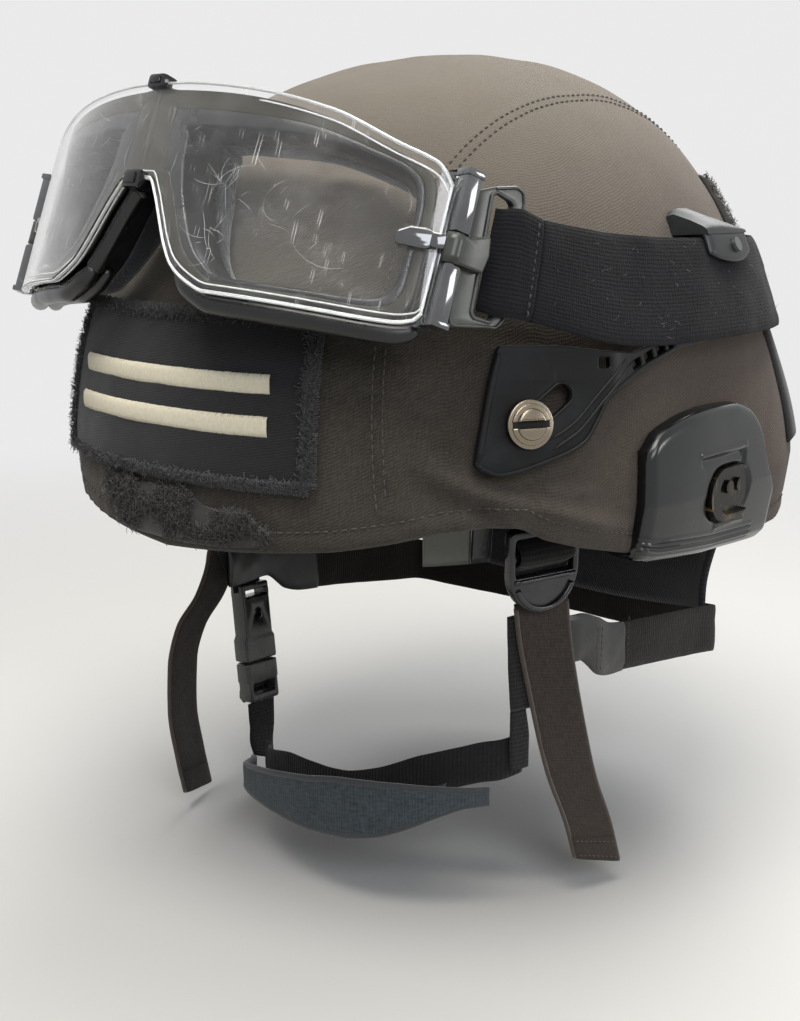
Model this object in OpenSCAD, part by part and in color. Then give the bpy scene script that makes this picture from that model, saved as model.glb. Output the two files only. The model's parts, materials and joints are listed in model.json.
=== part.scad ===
// Covered ballistic helmet with goggles, visor brackets, rim clips and a chin harness.
// X points forward, Y to the wearer's left and Z up. The origin is the middle of the head opening.

/* [Helmet] */
// Centre of the head opening to the front of the cover
front_len = 143.5; // [138:0.5:150]
// Centre of the head opening to the back of the cover
rear_len = 146.5; // [140:0.5:156]
// Half of the width over the cover
half_w = 126.5; // [122:0.5:132]
// Height of the crown over the head opening
crown_z = 173; // [166:1:182]
// Height of the widest line
wide_z = 20; // [16:1:24]
// How far the crown sits behind the centre
crown_back = 11; // [7:0.5:15]
// How far the lower edge draws in
tuck = 3; // [1.5:0.5:4.5]
// How far the nape flares out
nape_flare = 9.5; // [5:0.5:12]
// Height where the flare of the nape starts
nape_z = 85; // [78:1:92]
// Thickness of the aramid shell
shell_t = 8; // [6:0.5:9.5]
// Thickness of the cloth cover
cover_t = 1; // [0.8:0.1:1.4]
// Height of the hem folded up inside the rim
hem_h = 10; // [6:0.5:13]
// Thickness of the rubber edge trim
trim_t = 1.5; // [1:0.1:2]
// Height of the legs of the edge trim
trim_h = 13; // [9:0.5:16]
// Thickness of the comfort pads
pad_t = 18; // [12:1:22]

/* [Cloth panels] */
// Half of the width of the front patch, as an angle
patch_a = 25; // [20:0.5:29]
// Lower edge of the front patch
patch_lo = 30.5; // [28:0.5:36]
// Upper edge of the front patch
patch_hi = 84; // [78:0.5:86]
// Thickness of the front patch and its border
patch_t = 1.6; // [1:0.1:2.2]
// Thickness of the hook and loop panels
panel_t = 1.2; // [0.8:0.1:1.8]
// Lower edge of the upper loop panel at the rear
rear_panel_lo = 80; // [76:0.5:84]
// Upper edge of the upper loop panel at the rear
rear_panel_hi = 128; // [122:0.5:132]
// Lower edge of the rear patch
rear_patch_lo = 26; // [23:0.5:30]
// Upper edge of the rear patch
rear_patch_hi = 72; // [66:0.5:76]

/* [Goggles] */
// Radius of the lens, seen from above
lens_r = 160; // [154:1:168]
// Half of the width of the lens
lens_w = 100; // [96:0.5:103]
// Thickness of the lens
lens_t = 3; // [2:0.1:3.6]
// Height of the lens at its outer lobes
lens_h = 65.5; // [62:0.5:69]
// Height of the lens over the nose
nose_h = 32; // [28:0.5:36]
// Lean of the goggles towards the crown, in degrees
lens_lean = 21; // [18:0.5:24]
// Depth of the goggle frame behind the lens
frame_d = 17; // [12:0.5:19]
// Thickness of the foam at its fullest
foam_t = 11; // [7:0.5:13]
// Radius of the outrigger's hinge pin
pin_r = 1.5; // [1.2:0.1:1.8]
// Thickness of the outrigger's plate
outrig_t = 2.4; // [1.8:0.1:3]
// Thickness of the elastic strap
strap_t = 2.2; // [1.6:0.1:2.6]

/* [Visor brackets] */
// Thickness of the bracket plate
plate_t = 3; // [2:0.25:4]
// Radius of the bracket screw's head
head_r = 7.75; // [6.5:0.25:9]
// Thickness of the bracket screw's head
head_t = 3.2; // [2.5:0.1:5]
// Radius of the bracket screw's shank
shank_r = 3; // [2:0.25:3.4]
// Length of the slot from the screw to its far end
slot_l = 14; // [11:0.5:16]

/* [Rim clips] */
// Thickness of the rim clip's wall
clip_t = 6; // [4:0.5:7]
// Radius of the clip's boss
boss_r = 9.5; // [8:0.5:10.5]
// How far the clip's boss is drawn out to the rear
boss_l = 9; // [6:0.5:11]

/* [Harness] */
// Width of the harness webbing
web_w = 25; // [22:0.5:26]
// Thickness of the harness webbing
web_t = 1.6; // [1.2:0.1:2]
// Width of the ladder lock
lock_w = 31; // [29:0.5:34]
// Height of the ladder lock
lock_h = 31; // [28:1:34]
// Width of the side-release buckle
buckle_w = 18; // [16:0.5:20]
// Thickness of the side-release buckle
buckle_t = 10; // [8:0.5:11]
// Length of the buckle's upper half
female_l = 36; // [32:1:38]
// Length of the buckle's lower half
male_l = 19; // [17:0.5:22]
// Thickness of the nape pad
nape_t = 6; // [4:0.5:8]

/* [Hidden] */

// Clearances
slip = 0.3;
run = 0.05;
hold = 0.9;

// Layers through the wall, measured outward from the cover's outer face
trim_o = -cover_t - slip;
shell_o = trim_o - trim_t - 0.3;
shell_i = shell_o - shell_t;
trim_i = shell_i - 0.2 - trim_t;
hem_i = trim_i - slip - cover_t;
seat = 0.3;

function lerp(a, b, t) = a + (b - a) * t;
function unit(v) = v / norm(v);

// Dome of the helmet: a is the bearing from the front, z the height and o the offset
plan_n = 2.24;
function plan_r(a, o) = pow(pow(abs(cos(a)) / ((cos(a) > 0 ? front_len : rear_len) + o), plan_n)
  + pow(abs(sin(a)) / (half_w + o), plan_n), -1 / plan_n);
function up_n(a) = 2 + (cos(a) > 0 ? 0.45 : -0.3) * cos(a) * cos(a);
function in_n(a) = 2.4 + (cos(a) > 0 ? -0.4 : -0.2) * cos(a) * cos(a);
function rise(z, o) = (z - wide_z) / (crown_z - wide_z + o);
function ease(t) = let (u = min(max(t, 0), 1)) u * u * (3 - 2 * u);
function nape(a, z) = nape_flare * ease((acos(cos(a)) - 90) / 40) * ease((nape_z - z) / (nape_z - 10));
function dome_r(a, z, o) = let (h = rise(z, o), r = plan_r(a, o))
  nape(a, z) + (h < 0 ? r - tuck * min((wide_z - z) / wide_z, 1.3)
        : r * pow(max(1 - pow(min(h, 1), up_n(a)), 0), 1 / in_n(a)));
function dome_x(z, o) = -crown_back * pow(max(min(rise(z, o), 1), 0), 2);
function dome(a, z, o) = let (r = dome_r(a, z, o)) [r * cos(a) + dome_x(z, o), r * sin(a), z];
function rim(a) = lookup(abs(a), [[0, 4], [12, 6.4], [27, 10], [34, 13], [41, 16.7], [47, 18],
  [52, 17], [56, 12], [62, 7.7], [75, 0.7], [90, -2.5], [135, -7], [180, -6]]);
// How far a point stands clear of the dome
function clear_of(p) = let (x = p[0] - dome_x(p[2], 0), a = atan2(p[1], x))
  p[2] > crown_z - 1 ? 20 : norm([x, p[1]]) - dome_r(a, p[2], 0);

// Closed skin between two grids of points, given as columns of equal length
function vol6(p, f) = let (n = len(f))
  [for (i = 0, s = 0; i <= n; s = s + (i < n ? p[f[i][0]] * cross(p[f[i][1]], p[f[i][2]]) : 0),
    i = i + 1) s][n];
module skin(p, q, wrap = false, top = [], low = []) {
  nc = len(p);
  nr = len(p[0]);
  last = wrap ? nc : nc - 1;
  pts = concat([for (c = p) for (v = c) v], [for (c = q) for (v = c) v], top, low);
  iq = nc * nr;
  it = 2 * nc * nr;
  il = it + len(top);
  faces = concat(
    [for (i = [0 : last - 1]) for (j = [0 : nr - 2]) let (a = i * nr + j, b = ((i + 1) % nc) * nr + j)
      each [[a, b, b + 1], [a, b + 1, a + 1]]],
    [for (i = [0 : last - 1]) for (j = [0 : nr - 2])
      let (a = iq + i * nr + j, b = iq + ((i + 1) % nc) * nr + j)
      each [[a, b + 1, b], [a, a + 1, b + 1]]],
    len(low) > 0 ? [] : [for (i = [0 : last - 1]) let (a = i * nr, b = ((i + 1) % nc) * nr)
      each [[a, iq + b, b], [a, iq + a, iq + b]]],
    len(top) > 0
      ? [for (i = [0 : last - 1])
          let (a = i * nr + nr - 1, b = ((i + 1) % nc) * nr + nr - 1)
          each [[a, b, it], [iq + a, it + 1, iq + b]]]
      : [for (i = [0 : last - 1])
          let (a = i * nr + nr - 1, b = ((i + 1) % nc) * nr + nr - 1)
          each [[a, b, iq + b], [a, iq + b, iq + a]]],
    wrap ? [] : [for (j = [0 : nr - 2]) let (a = j, b = (nc - 1) * nr + j)
      each [[a, a + 1, iq + a + 1], [a, iq + a + 1, iq + a],
            [b, iq + b + 1, b + 1], [b, iq + b, iq + b + 1]]]);
  out = vol6(pts, faces) < 0 ? faces : [for (f = faces) [f[0], f[2], f[1]]];
  polyhedron(points = pts, faces = out, convexity = 6);
}

// Patch that follows the dome between two bearings; z0 and z1 may be lists along it
module on_dome(angles, lo, hi, rows, o0, o1) {
  n = len(angles);
  zl = [for (i = [0 : n - 1]) is_list(lo) ? lo[i] : lo];
  zh = [for (i = [0 : n - 1]) is_list(hi) ? hi[i] : hi];
  skin([for (i = [0 : n - 1]) [for (j = [0 : rows]) dome(angles[i], lerp(zl[i], zh[i], j / rows), o1)]],
       [for (i = [0 : n - 1]) [for (j = [0 : rows]) dome(angles[i], lerp(zl[i], zh[i], j / rows), o0)]]);
}

// Flat webbing through stations of left and right edge points; t lies along the given side
module ribbon(st, t) {
  n = len(st);
  nrm = [for (i = [0 : n - 1]) let (a = st[max(i - 1, 0)], b = st[min(i + 1, n - 1)])
    unit(cross((b[0] + b[1]) - (a[0] + a[1]), st[i][1] - st[i][0]))];
  skin([for (i = [0 : n - 1]) [for (k = [0 : 2]) lerp(st[i][0], st[i][1], k / 2) + nrm[i] * t / 2]],
       [for (i = [0 : n - 1]) [for (k = [0 : 2]) lerp(st[i][0], st[i][1], k / 2) - nrm[i] * t / 2]]);
}

module other_side() {
  mirror([0, 1, 0]) children();
}

// Bearings round the helmet and heights up to the crown
half_b = [7, 14, 21, 28, 34, 40, 46, 51, 56, 62, 69, 76, 83, 90, 100, 110, 120, 130, 140, 150, 160, 170];
bearings = concat([0], half_b, [180], [for (i = [len(half_b) - 1 : -1 : 0]) -half_b[i]]);
levels = 11;
function wall_z(a, o) = let (z0 = rim(a) + 3, z1 = rim(a) + trim_h)
  concat([z0, (z0 + z1) / 2], [for (j = [0 : levels - 1]) z1 + (crown_z + o - z1) * sin(90 * j / levels)]);
function wall(a, o) = [for (z = wall_z(a, o)) dome(a, z, o)];

module aramid_shell() {
  color("#3b3a33") difference() {
    skin([for (a = bearings) wall(a, shell_o)], [for (a = bearings) wall(a, shell_i)], wrap = true,
         top = [[-crown_back, 0, crown_z + shell_o], [-crown_back, 0, crown_z + shell_i]]);
    insert_holes();
  }
}

module fabric_cover() {
  color("#5a544b") difference() {
    skin([for (a = bearings) concat(
           [for (j = [0 : 1]) dome(a, rim(a) + lerp(hem_h, 2, j), hem_i)],
           [dome(a, rim(a), hem_i + 1), dome(a, rim(a), -1)], [dome(a, rim(a) + 1.4, 0)],
           [for (j = [1 : levels + 1]) wall(a, 0)[j]])],
         [for (a = bearings) concat(
           [for (j = [0 : 1]) dome(a, rim(a) + lerp(hem_h, 2, j), hem_i + cover_t)],
           [dome(a, rim(a) + cover_t, hem_i + cover_t + 0.4), dome(a, rim(a) + cover_t, -cover_t - 0.4)],
           [dome(a, rim(a) + 1.6 + cover_t / 2, -cover_t)],
           [for (j = [1 : levels + 1]) wall(a, -cover_t)[j]])], wrap = true,
         top = [[-crown_back, 0, crown_z], [-crown_back, 0, crown_z - cover_t]]);
    insert_holes();
  }
}

module rim_trim() {
  z1 = cover_t + 0.2;
  color("#151515") skin(
    [for (a = bearings) [dome(a, rim(a) + trim_h, trim_i), dome(a, rim(a) + 1.5 + trim_h / 2, trim_i),
      dome(a, rim(a) + z1 + 0.4, trim_i),
      dome(a, rim(a) + z1, trim_i + 0.5), dome(a, rim(a) + z1, trim_o - 0.5),
      dome(a, rim(a) + z1 + 0.8, trim_o), dome(a, rim(a) + 1.5 + trim_h / 2, trim_o), dome(a, rim(a) + trim_h, trim_o)]],
    [for (a = bearings) [dome(a, rim(a) + trim_h, trim_i + trim_t), dome(a, rim(a) + 1.5 + trim_h / 2, trim_i + trim_t),
      dome(a, rim(a) + 2.9, trim_i + trim_t),
      dome(a, rim(a) + 2.8, trim_i + trim_t + 0.2), dome(a, rim(a) + 2.8, trim_o - trim_t - 0.2),
      dome(a, rim(a) + 2.9, trim_o - trim_t), dome(a, rim(a) + 1.5 + trim_h / 2, trim_o - trim_t),
      dome(a, rim(a) + trim_h, trim_o - trim_t)]],
    wrap = true);
}

// Comfort pads with rounded edges and a crowned face
pad_gap = 0.9;
module pad(bs, z0, z1, t, gap = pad_gap) {
  n = len(bs) - 1;
  m = 6;
  function swell(u) = pow(max(1 - pow(abs(2 * u - 1), 4), 0), 0.5);
  color("#242424") skin(
    [for (i = [0 : n]) [for (j = [0 : m]) dome(bs[i], lerp(z0, z1, j / m), shell_i - gap)]],
    [for (i = [0 : n]) [for (j = [0 : m]) dome(bs[i], lerp(z0, z1, j / m),
      shell_i - gap - t * (0.35 + 0.65 * swell(i / n) * swell(j / m)))]]);
}
band_in = 24;
module front_pad() {
  pad([-28, -21, -14, -7, 0, 7, 14, 21, 28], trim_h + 13, trim_h + 58, band_in + 3 - pad_gap - 0.35);
}
module rear_pad() {
  pad([150, 160, 170, 180, 190, 200, 210], nape_hi + 1, 72, pad_t, pad_gap + 0.7);
}
module left_side_pad() {
  pad([76, 83, 90, 100, 110], trim_h + 12, 74, pad_t, pad_gap + 0.2);
}
module right_side_pad() {
  other_side() left_side_pad();
}
module crown_pad() {
  n = 16;
  m = 4;
  color("#242424") skin(
    [for (i = [0 : n - 1]) [for (j = [0 : m]) dome(i * 360 / n, lerp(crown_z - 27, crown_z - 15, j / m), shell_i - pad_gap)]],
    [for (i = [0 : n - 1]) [for (j = [0 : m]) dome(i * 360 / n, lerp(crown_z - 27, crown_z - 15, j / m),
      shell_i - pad_gap)
      - [0, 0, pad_t * (0.35 + 0.65 * sin(90 * j / m))]]], wrap = true,
    top = [[-crown_back, 0, crown_z + shell_i - pad_gap], [-crown_back, 0, crown_z + shell_i - pad_gap - pad_t]]);
}

// Leather headband whose front ends show below the rim beside the ladder locks
band_b = [38, 41, 44, 47, 50, 53];
module left_headband() {
  on_dome(band_b, -6, 24, 3, hem_i - band_in - 4, hem_i - band_in);
}
module headband() {
  color("#4a4b49") {
    left_headband();
    other_side() left_headband();
    on_dome([for (i = [0 : 14]) -38 + i * 76 / 14], 10, 40, 3, hem_i - band_in - 4, hem_i - band_in);
  }
}

nape_b = [140, 150, 160, 170, 180, 190, 200, 210, 220];
nape_hi = trim_h + 3;
function nape_lo(a) = -57 - 15 * pow(cos((a - 180) * 90 / 40), 1);
function nape_o(a, z) = hem_i - 2 * seat - nape(a, 0) * ease(-z / 50);
module nape_pad() {
  color("#1c1d1f") skin(
    [for (a = nape_b) [for (j = [0 : 5]) let (z = lerp(nape_lo(a), nape_hi, j / 5)) dome(a, z, nape_o(a, z))]],
    [for (a = nape_b) [for (j = [0 : 5]) let (z = lerp(nape_lo(a), nape_hi, j / 5)) dome(a, z,
      nape_o(a, z) - nape_t * (0.45 + 0.55 * sin(180 * j / 5) * abs(sin(180 * (a - 140) / 80))))]]);
}

// Patches on the cover
module front_patch() {
  color("#161616") on_dome([for (i = [0 : 8]) lerp(-patch_a, patch_a, i / 8)], patch_lo, patch_hi, 6, seat, seat + patch_t);
}
module front_loop_panel() {
  color("#2b2a28") on_dome([-11, -7, 0, 6, 8.8, 16.5, 18], 7.5, [24, 25.5, 26, 26, 21.8, 19.6, 14.6], 3, 0.5, 0.5 + panel_t);
}
module rear_loop_panel() {
  color("#2b2a28") on_dome([for (i = [0 : 12]) 120 + i * 10], rear_panel_lo, rear_panel_hi, 5, seat, seat + panel_t);
}
module rear_patch() {
  color("#161616") on_dome([for (i = [0 : 12]) 120 + i * 10], rear_patch_lo, rear_patch_hi, 4, seat, seat + panel_t);
}

// Goggles: lens frame at its top middle, local x forward, z up the lens
lens_x = 135.95;
lens_z = 155.2;
eye_x = [cos(lens_lean), 0, sin(lens_lean)];
eye_z = [-sin(lens_lean), 0, cos(lens_lean)];
lens_o = [lens_x, 0, lens_z];
function turn(y) = asin(y / lens_r);
function lens_p(y, v, d = 0) = let (t = turn(y))
  lens_o - eye_x * (lens_r * (1 - cos(t)) + d * cos(t)) + [0, y - d * sin(t), 0] + eye_z * v;
// Outline of the lens: top and bottom against the distance from the middle, as shares of the width
function lens_top(u) = lookup(u, [[0, 0], [0.08, 0], [0.38, -1.3], [0.645, -4.8], [0.85, -11.5],
  [0.95, -14.6], [0.972, -16.5], [1, -21]]);
function lens_bot(u) = lookup(u, [[0, -nose_h], [0.06, -nose_h], [0.157, -nose_h - 13.7],
  [0.248, -lens_h + 6.4], [0.326, -lens_h + 1.8], [0.39, -lens_h - 0.2], [0.556, -lens_h], [0.824, -lens_h + 0.6],
  [0.93, -lens_h + 1.4], [0.98, -lens_h + 3.2], [1, -lens_h + 6]]);
lens_u = [0, 0.06, 0.11, 0.157, 0.2, 0.248, 0.326, 0.39, 0.48, 0.556, 0.645, 0.75, 0.85, 0.93, 0.972, 1];
module goggle_lens() {
  us = concat([for (i = [len(lens_u) - 1 : -1 : 1]) -lens_u[i]], lens_u);
  color("#c9cfcf", 0.4) skin(
    [for (u = us) [for (j = [0 : 3]) lens_p(u * lens_w, lerp(lens_bot(abs(u)), lens_top(abs(u)), j / 3), 0)]],
    [for (u = us) [for (j = [0 : 3]) lens_p(u * lens_w, lerp(lens_bot(abs(u)), lens_top(abs(u)), j / 3), lens_t)]]);
}

// Ring round one eye: outer and window outlines as matching points
eye_o = [[8, -2.2], [38, -3.5], [62, -6.8], [82, -12.8], [93, -17.5], [96.5, -24], [97, -42], [96.5, -lens_h + 8],
  [91, -lens_h + 3.2], [72, -lens_h + 2.4], [55, -lens_h + 2], [39, -lens_h + 2], [31, -lens_h + 5],
  [22, -lens_h + 12], [14.5, -nose_h - 9], [6, -nose_h + 1.5], [-1, -nose_h + 1.5], [-1, -2.2]];
eye_i = [[17, -13.8], [38, -13.6], [60, -13.6], [78, -16.5], [88, -19.5], [92, -26], [92.5, -42], [91.5, -lens_h + 12],
  [86, -lens_h + 7.5], [70, -lens_h + 6.4], [55, -lens_h + 6], [42, -lens_h + 6], [35, -lens_h + 9.5],
  [28.5, -lens_h + 16], [21, -nose_h - 3.5], [18.6, -nose_h + 4], [17.6, -24], [17, -17]];
function fit_depth(y, v, d, lo = 0, n = 0) = let (m = (lo + d) / 2)
  clear_of(lens_p(y, v, d)) > seat + patch_t + hold ? d
  : n > 7 ? lo
  : clear_of(lens_p(y, v, m)) > seat + patch_t + hold ? fit_between(y, v, m, d, n + 1) : fit_between(y, v, lo, m, n + 1);
function fit_between(y, v, lo, hi, n) = let (m = (lo + hi) / 2)
  n > 8 ? lo : clear_of(lens_p(y, v, m)) > seat + patch_t + hold ? fit_between(y, v, m, hi, n + 1) : fit_between(y, v, lo, m, n + 1);
frame_f = lens_t + seat;
frame_b = lens_t + frame_d;
module eye_ring(o, w, d0, d1) {
  skin([for (q = o) [lens_p(q[0] * lens_w / 100, q[1], d0),
         lens_p(q[0] * lens_w / 100, q[1], fit_depth(q[0] * lens_w / 100, q[1], d1))]],
       [for (q = w) [lens_p(q[0] * lens_w / 100, q[1], d0),
         lens_p(q[0] * lens_w / 100, q[1], fit_depth(q[0] * lens_w / 100, q[1], d1))]], wrap = true);
}
module goggle_frame() {
  color("#141516") {
    eye_ring(eye_o, eye_i, frame_f, frame_b);
    other_side() eye_ring(eye_o, eye_i, frame_f, frame_b);
  }
}
function closer(o, w, k) = [for (i = [0 : len(o) - 1]) lerp(o[i], w[i], k)];
module goggle_foam() {
  o = closer(eye_o, eye_i, 0.12);
  w = closer(eye_i, eye_o, 0.1);
  color("#202122") {
    eye_ring(o, w, frame_b + 0.1, frame_b + foam_t);
    other_side() eye_ring(o, w, frame_b + 0.1, frame_b + foam_t);
  }
}
module on_lens() {
  translate(lens_o) rotate([0, -lens_lean, 0]) children();
}
module lens_clip(h) {
  difference() {
    translate([-frame_f + 0.05, -4.5, h > 0 ? -3 : -3.2]) cube([frame_f + 2.1, 9, 6.2]);
    translate([-lens_t - 0.25, -6, h > 0 ? -4 : -0.25]) cube([lens_t + 0.5, 12, 4.25]);
  }
}
module top_clip() {
  color("#101112") on_lens() lens_clip(1);
}
module nose_clip() {
  color("#101112") on_lens() translate([0, 0, -nose_h]) lens_clip(-1);
}

// Side of the goggles: hinge bars beside the lens edge, and the outrigger on their pin
side_v = -40;
side_gap = 3;
yaw_out = 16;
edge_t = turn(lens_w);
side_p = lens_p(lens_w, side_v) + [0, side_gap, 0];
bar_r = 2.7;
pin_x = 2.3;
bar_top = 24.5;
bar_gap_hi = 5.4;
bar_gap_lo = -3.9;
bar_low = -23;
module at_side() {
  translate(side_p) rotate([0, -lens_lean, 0]) children();
}
module at_pin() {
  at_side() rotate([0, 0, 180 - yaw_out]) translate([pin_x, 0, 0]) children();
}
// Frame wall seen along the lens height, from the side point
function wall_xy(y, d, gap) = let (t = turn(y), e = edge_t)
  [-lens_r * (1 - cos(t)) - (d - 0) * cos(t) + lens_r * (1 - cos(e)) - gap * sin(t),
   lens_r * sin(t) - d * sin(t) - lens_w - side_gap + gap * cos(t)];
pin_xy = [-pin_x * cos(yaw_out), pin_x * sin(yaw_out)];
module bar_arm() {
  wa = wall_xy(96.5 * lens_w / 100, frame_f + 3.5, 0.2);
  wb = wall_xy(96.5 * lens_w / 100, frame_f + 8, 0.2);
  linear_extrude(3) polygon([pin_xy + [1.6, 1.2], pin_xy + [0.6, -3.2], wa, wb, pin_xy + [-2.4, 0.6]]);
}
module left_hinge_bar() {
  color("#2a2d2f") {
    at_side() {
      translate([0, 0, bar_top - 3]) bar_arm();
      translate([0, 0, bar_low]) bar_arm();
    }
    at_pin() {
      translate([0, 0, bar_gap_hi]) cylinder(r = bar_r, h = bar_top - bar_gap_hi, $fn = 32);
      translate([0, 0, bar_low]) cylinder(r = bar_r, h = bar_gap_lo - bar_low, $fn = 32);
      translate([0, 0, bar_low]) cylinder(r = pin_r, h = bar_top - bar_low, $fn = 32);
    }
  }
}
module right_hinge_bar() {
  other_side() left_hinge_bar();
}
plate_in = 2.6;
slot_a = [[17.6, 21], [13, 21.6], [11.6, 20.2], [14.3, -14.4], [15.6, -15.6], [20.4, -15.2], [21.4, -13.4], [19, 20]];
module on_outrigger() {
  at_pin() translate([-pin_x, plate_in, 0]) rotate([90, 0, 0]) children();
}
module left_outrigger() {
  color("#30322d") difference() {
    union() {
      on_outrigger() linear_extrude(outrig_t) difference() {
        polygon([[6.2, 20], [12.2, 23.3], [19.2, 26.2], [22, 25.6], [23.2, 22.3], [25.6, -13.6], [23.6, -16.6], [21, -17],
          [6.8, -21]]);
        polygon(slot_a);
      }
      on_outrigger() linear_extrude(plate_in + bar_r) polygon([[pin_x, bar_gap_hi - seat], [5.6, bar_gap_hi - seat],
        [12.4, 8], [12.4, -3.4], [pin_x, bar_gap_lo + seat]]);
      at_pin() translate([0, 0, bar_gap_lo + seat])
        cylinder(r = bar_r, h = bar_gap_hi - bar_gap_lo - 2 * seat, $fn = 32);
    }
    at_pin() translate([0, 0, -20]) cylinder(r = pin_r + run, h = 40, $fn = 32);
  }
}
module right_outrigger() {
  other_side() left_outrigger();
}

// Elastic strap: its folded end sits in the outrigger's slot and rides with it
function side_at(x, h, v) = side_p + (eye_x * -cos(yaw_out) + [0, sin(yaw_out), 0]) * x
  + (eye_x * -sin(yaw_out) + [0, -cos(yaw_out), 0]) * h + eye_z * v;
fold_h = plate_in - outrig_t / 2;
loop_end = 29;
module left_strap_loop() {
  color("#15161a") ribbon([
    [side_at(16.8, fold_h + 1, -12.8), side_at(14.9, fold_h + 1, 17.8)],
    [side_at(18.2, fold_h - 0.4, -13), side_at(16.8, fold_h - 0.2, 18)],
    [side_at(22.5, plate_in - outrig_t - strap_t / 2 - 0.7, -13.2), side_at(19.5, plate_in - outrig_t - strap_t / 2 - 0.7, 18.8)],
    [side_at(26.6, plate_in - outrig_t - strap_t / 2 - 0.7, -12), side_at(23.6, plate_in - outrig_t - strap_t / 2 - 0.7, 19)],
    [side_at(33.2, plate_in - outrig_t - strap_t / 2 - 0.3, -10.9), side_at(loop_end, plate_in - outrig_t - strap_t / 2 - 0.3, 19.3)]],
    strap_t);
}
module right_strap_loop() {
  other_side() left_strap_loop();
}
strap_b = [68, 74, 81, 88, 96, 105, 115, 126, 138, 152, 166, 180];
strap_off = 8.95;
function strap_o(a) = lookup(a, [[60, strap_off], [100, strap_off - 0.2], [125, 4.6], [180, 4]]) + strap_t / 2;
function strap_lo(a) = lookup(a, [[60, 74.5], [75, 73], [95, 73], [180, 70]]);
function strap_hi(a) = lookup(a, [[60, 109], [75, 107], [95, 105.7], [180, 104]]);
strap_l = concat(
  [[side_at(34, plate_in - outrig_t - strap_t / 2 - 0.3, -11), side_at(loop_end + 0.8, plate_in - outrig_t - strap_t / 2 - 0.3, 19.1)]],
  [for (a = strap_b) [dome(a, strap_lo(a), strap_o(a)), dome(a, strap_hi(a), strap_o(a))]]);
module goggle_strap() {
  n = len(strap_l);
  color("#15161a") ribbon(concat(strap_l, [for (i = [n - 2 : -1 : 0])
    [[strap_l[i][0][0], -strap_l[i][0][1], strap_l[i][0][2]], [strap_l[i][1][0], -strap_l[i][1][1], strap_l[i][1][2]]]]), strap_t);
}

// Keeper over the strap's top edge
module left_strap_keeper() {
  o = strap_off + strap_t + 0.4;
  color("#4b4d4e") {
    on_dome([87, 91, 96, 101, 107, 112], [101, 99.5, 98.5, 98, 98.5, 101], [108, 108.5, 108.8, 108.8, 108.5, 108], 2, o, o + 1.8);
    on_dome([87, 91, 96, 101, 107, 112], 107.6, [114, 116, 116, 115, 113.5, 111.5], 2, seat, o + 1.8);
  }
}
module right_strap_keeper() {
  other_side() left_strap_keeper();
}
module rivet() {
  p = dome(96, 103.6, strap_off + strap_t + 2.4);
  translate(p) rotate([0, 66, 96]) cylinder(r = 2.6, h = 1.2, $fn = 24);
}
module keeper_rivets() {
  color("#77797a") {
    rivet();
    other_side() rivet();
  }
}

// Clip that grips the rim behind each ear
clip_b = [71.3, 74, 78, 83, 89, 95, 99, 101.5, 104, 107.8];
clip_hi = [38, 44, 47, 49, 49.6, 49.2, 47, 42, 26, 14];
clip_o = seat + 0.3;
function clip_low(a) = rim(a) - seat - 1.6;
module left_rim_clip() {
  n = len(clip_b);
  to = clip_o + clip_t;
  color("#17191b") difference() {
    union() {
      skin(
        [for (i = [0 : n - 1]) let (a = clip_b[i], z = rim(a)) [dome(a, z + 12, hem_i - 0.4 - 2.4), dome(a, z + 1, hem_i - 0.4 - 2.4),
          dome(a, clip_low(a), hem_i + 0.4), dome(a, clip_low(a), 1), dome(a, z + 1.4, to - 1), dome(a, z + 5, to),
          dome(a, lerp(z + 5, clip_hi[i] - 3, 0.4), to), dome(a, lerp(z + 5, clip_hi[i] - 3, 0.8), to),
          dome(a, clip_hi[i] - 3, to - 0.2), dome(a, clip_hi[i] - 0.6, to - 1.6), dome(a, clip_hi[i], to - 3.4)]],
        [for (i = [0 : n - 1]) let (a = clip_b[i], z = rim(a)) [dome(a, z + 12, hem_i - 0.4), dome(a, z + 1.4, hem_i - 0.4),
          dome(a, z - seat, hem_i), dome(a, z - seat, 0), dome(a, z + 1.4, clip_o - 0.1), dome(a, z + 5, clip_o),
          dome(a, lerp(z + 5, clip_hi[i] - 3, 0.4), clip_o), dome(a, lerp(z + 5, clip_hi[i] - 3, 0.8), clip_o),
          dome(a, clip_hi[i] - 3, clip_o), dome(a, clip_hi[i] - 0.6, clip_o), dome(a, clip_hi[i], clip_o)]]);
    }
    on_clip() {
      translate([0, 0, -3.2]) boss_form(boss_r + 0.2, 12);
      for (x = screw_dx) translate([x, screw_dy, -12]) cylinder(r = 1.5 + run, h = 12, $fn = 24);
    }
  }
}
// Boss with two small screws, set in the clip
boss_a = 89.8;
boss_z = 18.5;
screw_dx = [4.8, 11.8];
screw_dy = 1.8;
module boss_form(r, h) {
  hull() {
    cylinder(r = r, h = h, $fn = 48);
    translate([boss_l, 0, 0]) cylinder(r = r, h = h, $fn = 48);
  }
}
module on_clip() {
  translate(dome(boss_a, boss_z, clip_o + clip_t)) rotate([0, 0, boss_a - 1.5]) rotate([90, 0, 90]) children();
}
module clip_boss() {
  on_clip() difference() {
    translate([0, 0, -3]) boss_form(boss_r, 4.4);
    translate([3.4, 0, -1]) boss_form(boss_r - 1.8, 4);
    for (x = screw_dx) translate([x, screw_dy, -4]) cylinder(r = 1.5 + run, h = 8, $fn = 24);
  }
}
module right_rim_clip() {
  other_side() left_rim_clip();
}
module clip_screws() {
  on_clip() for (x = screw_dx) {
    translate([x, screw_dy, -1 + 0.05]) cylinder(r = 2.4, h = 1.3, $fn = 24);
    translate([x, screw_dy, -5.5]) cylinder(r = 1.5, h = 5, $fn = 24);
  }
}
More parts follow.
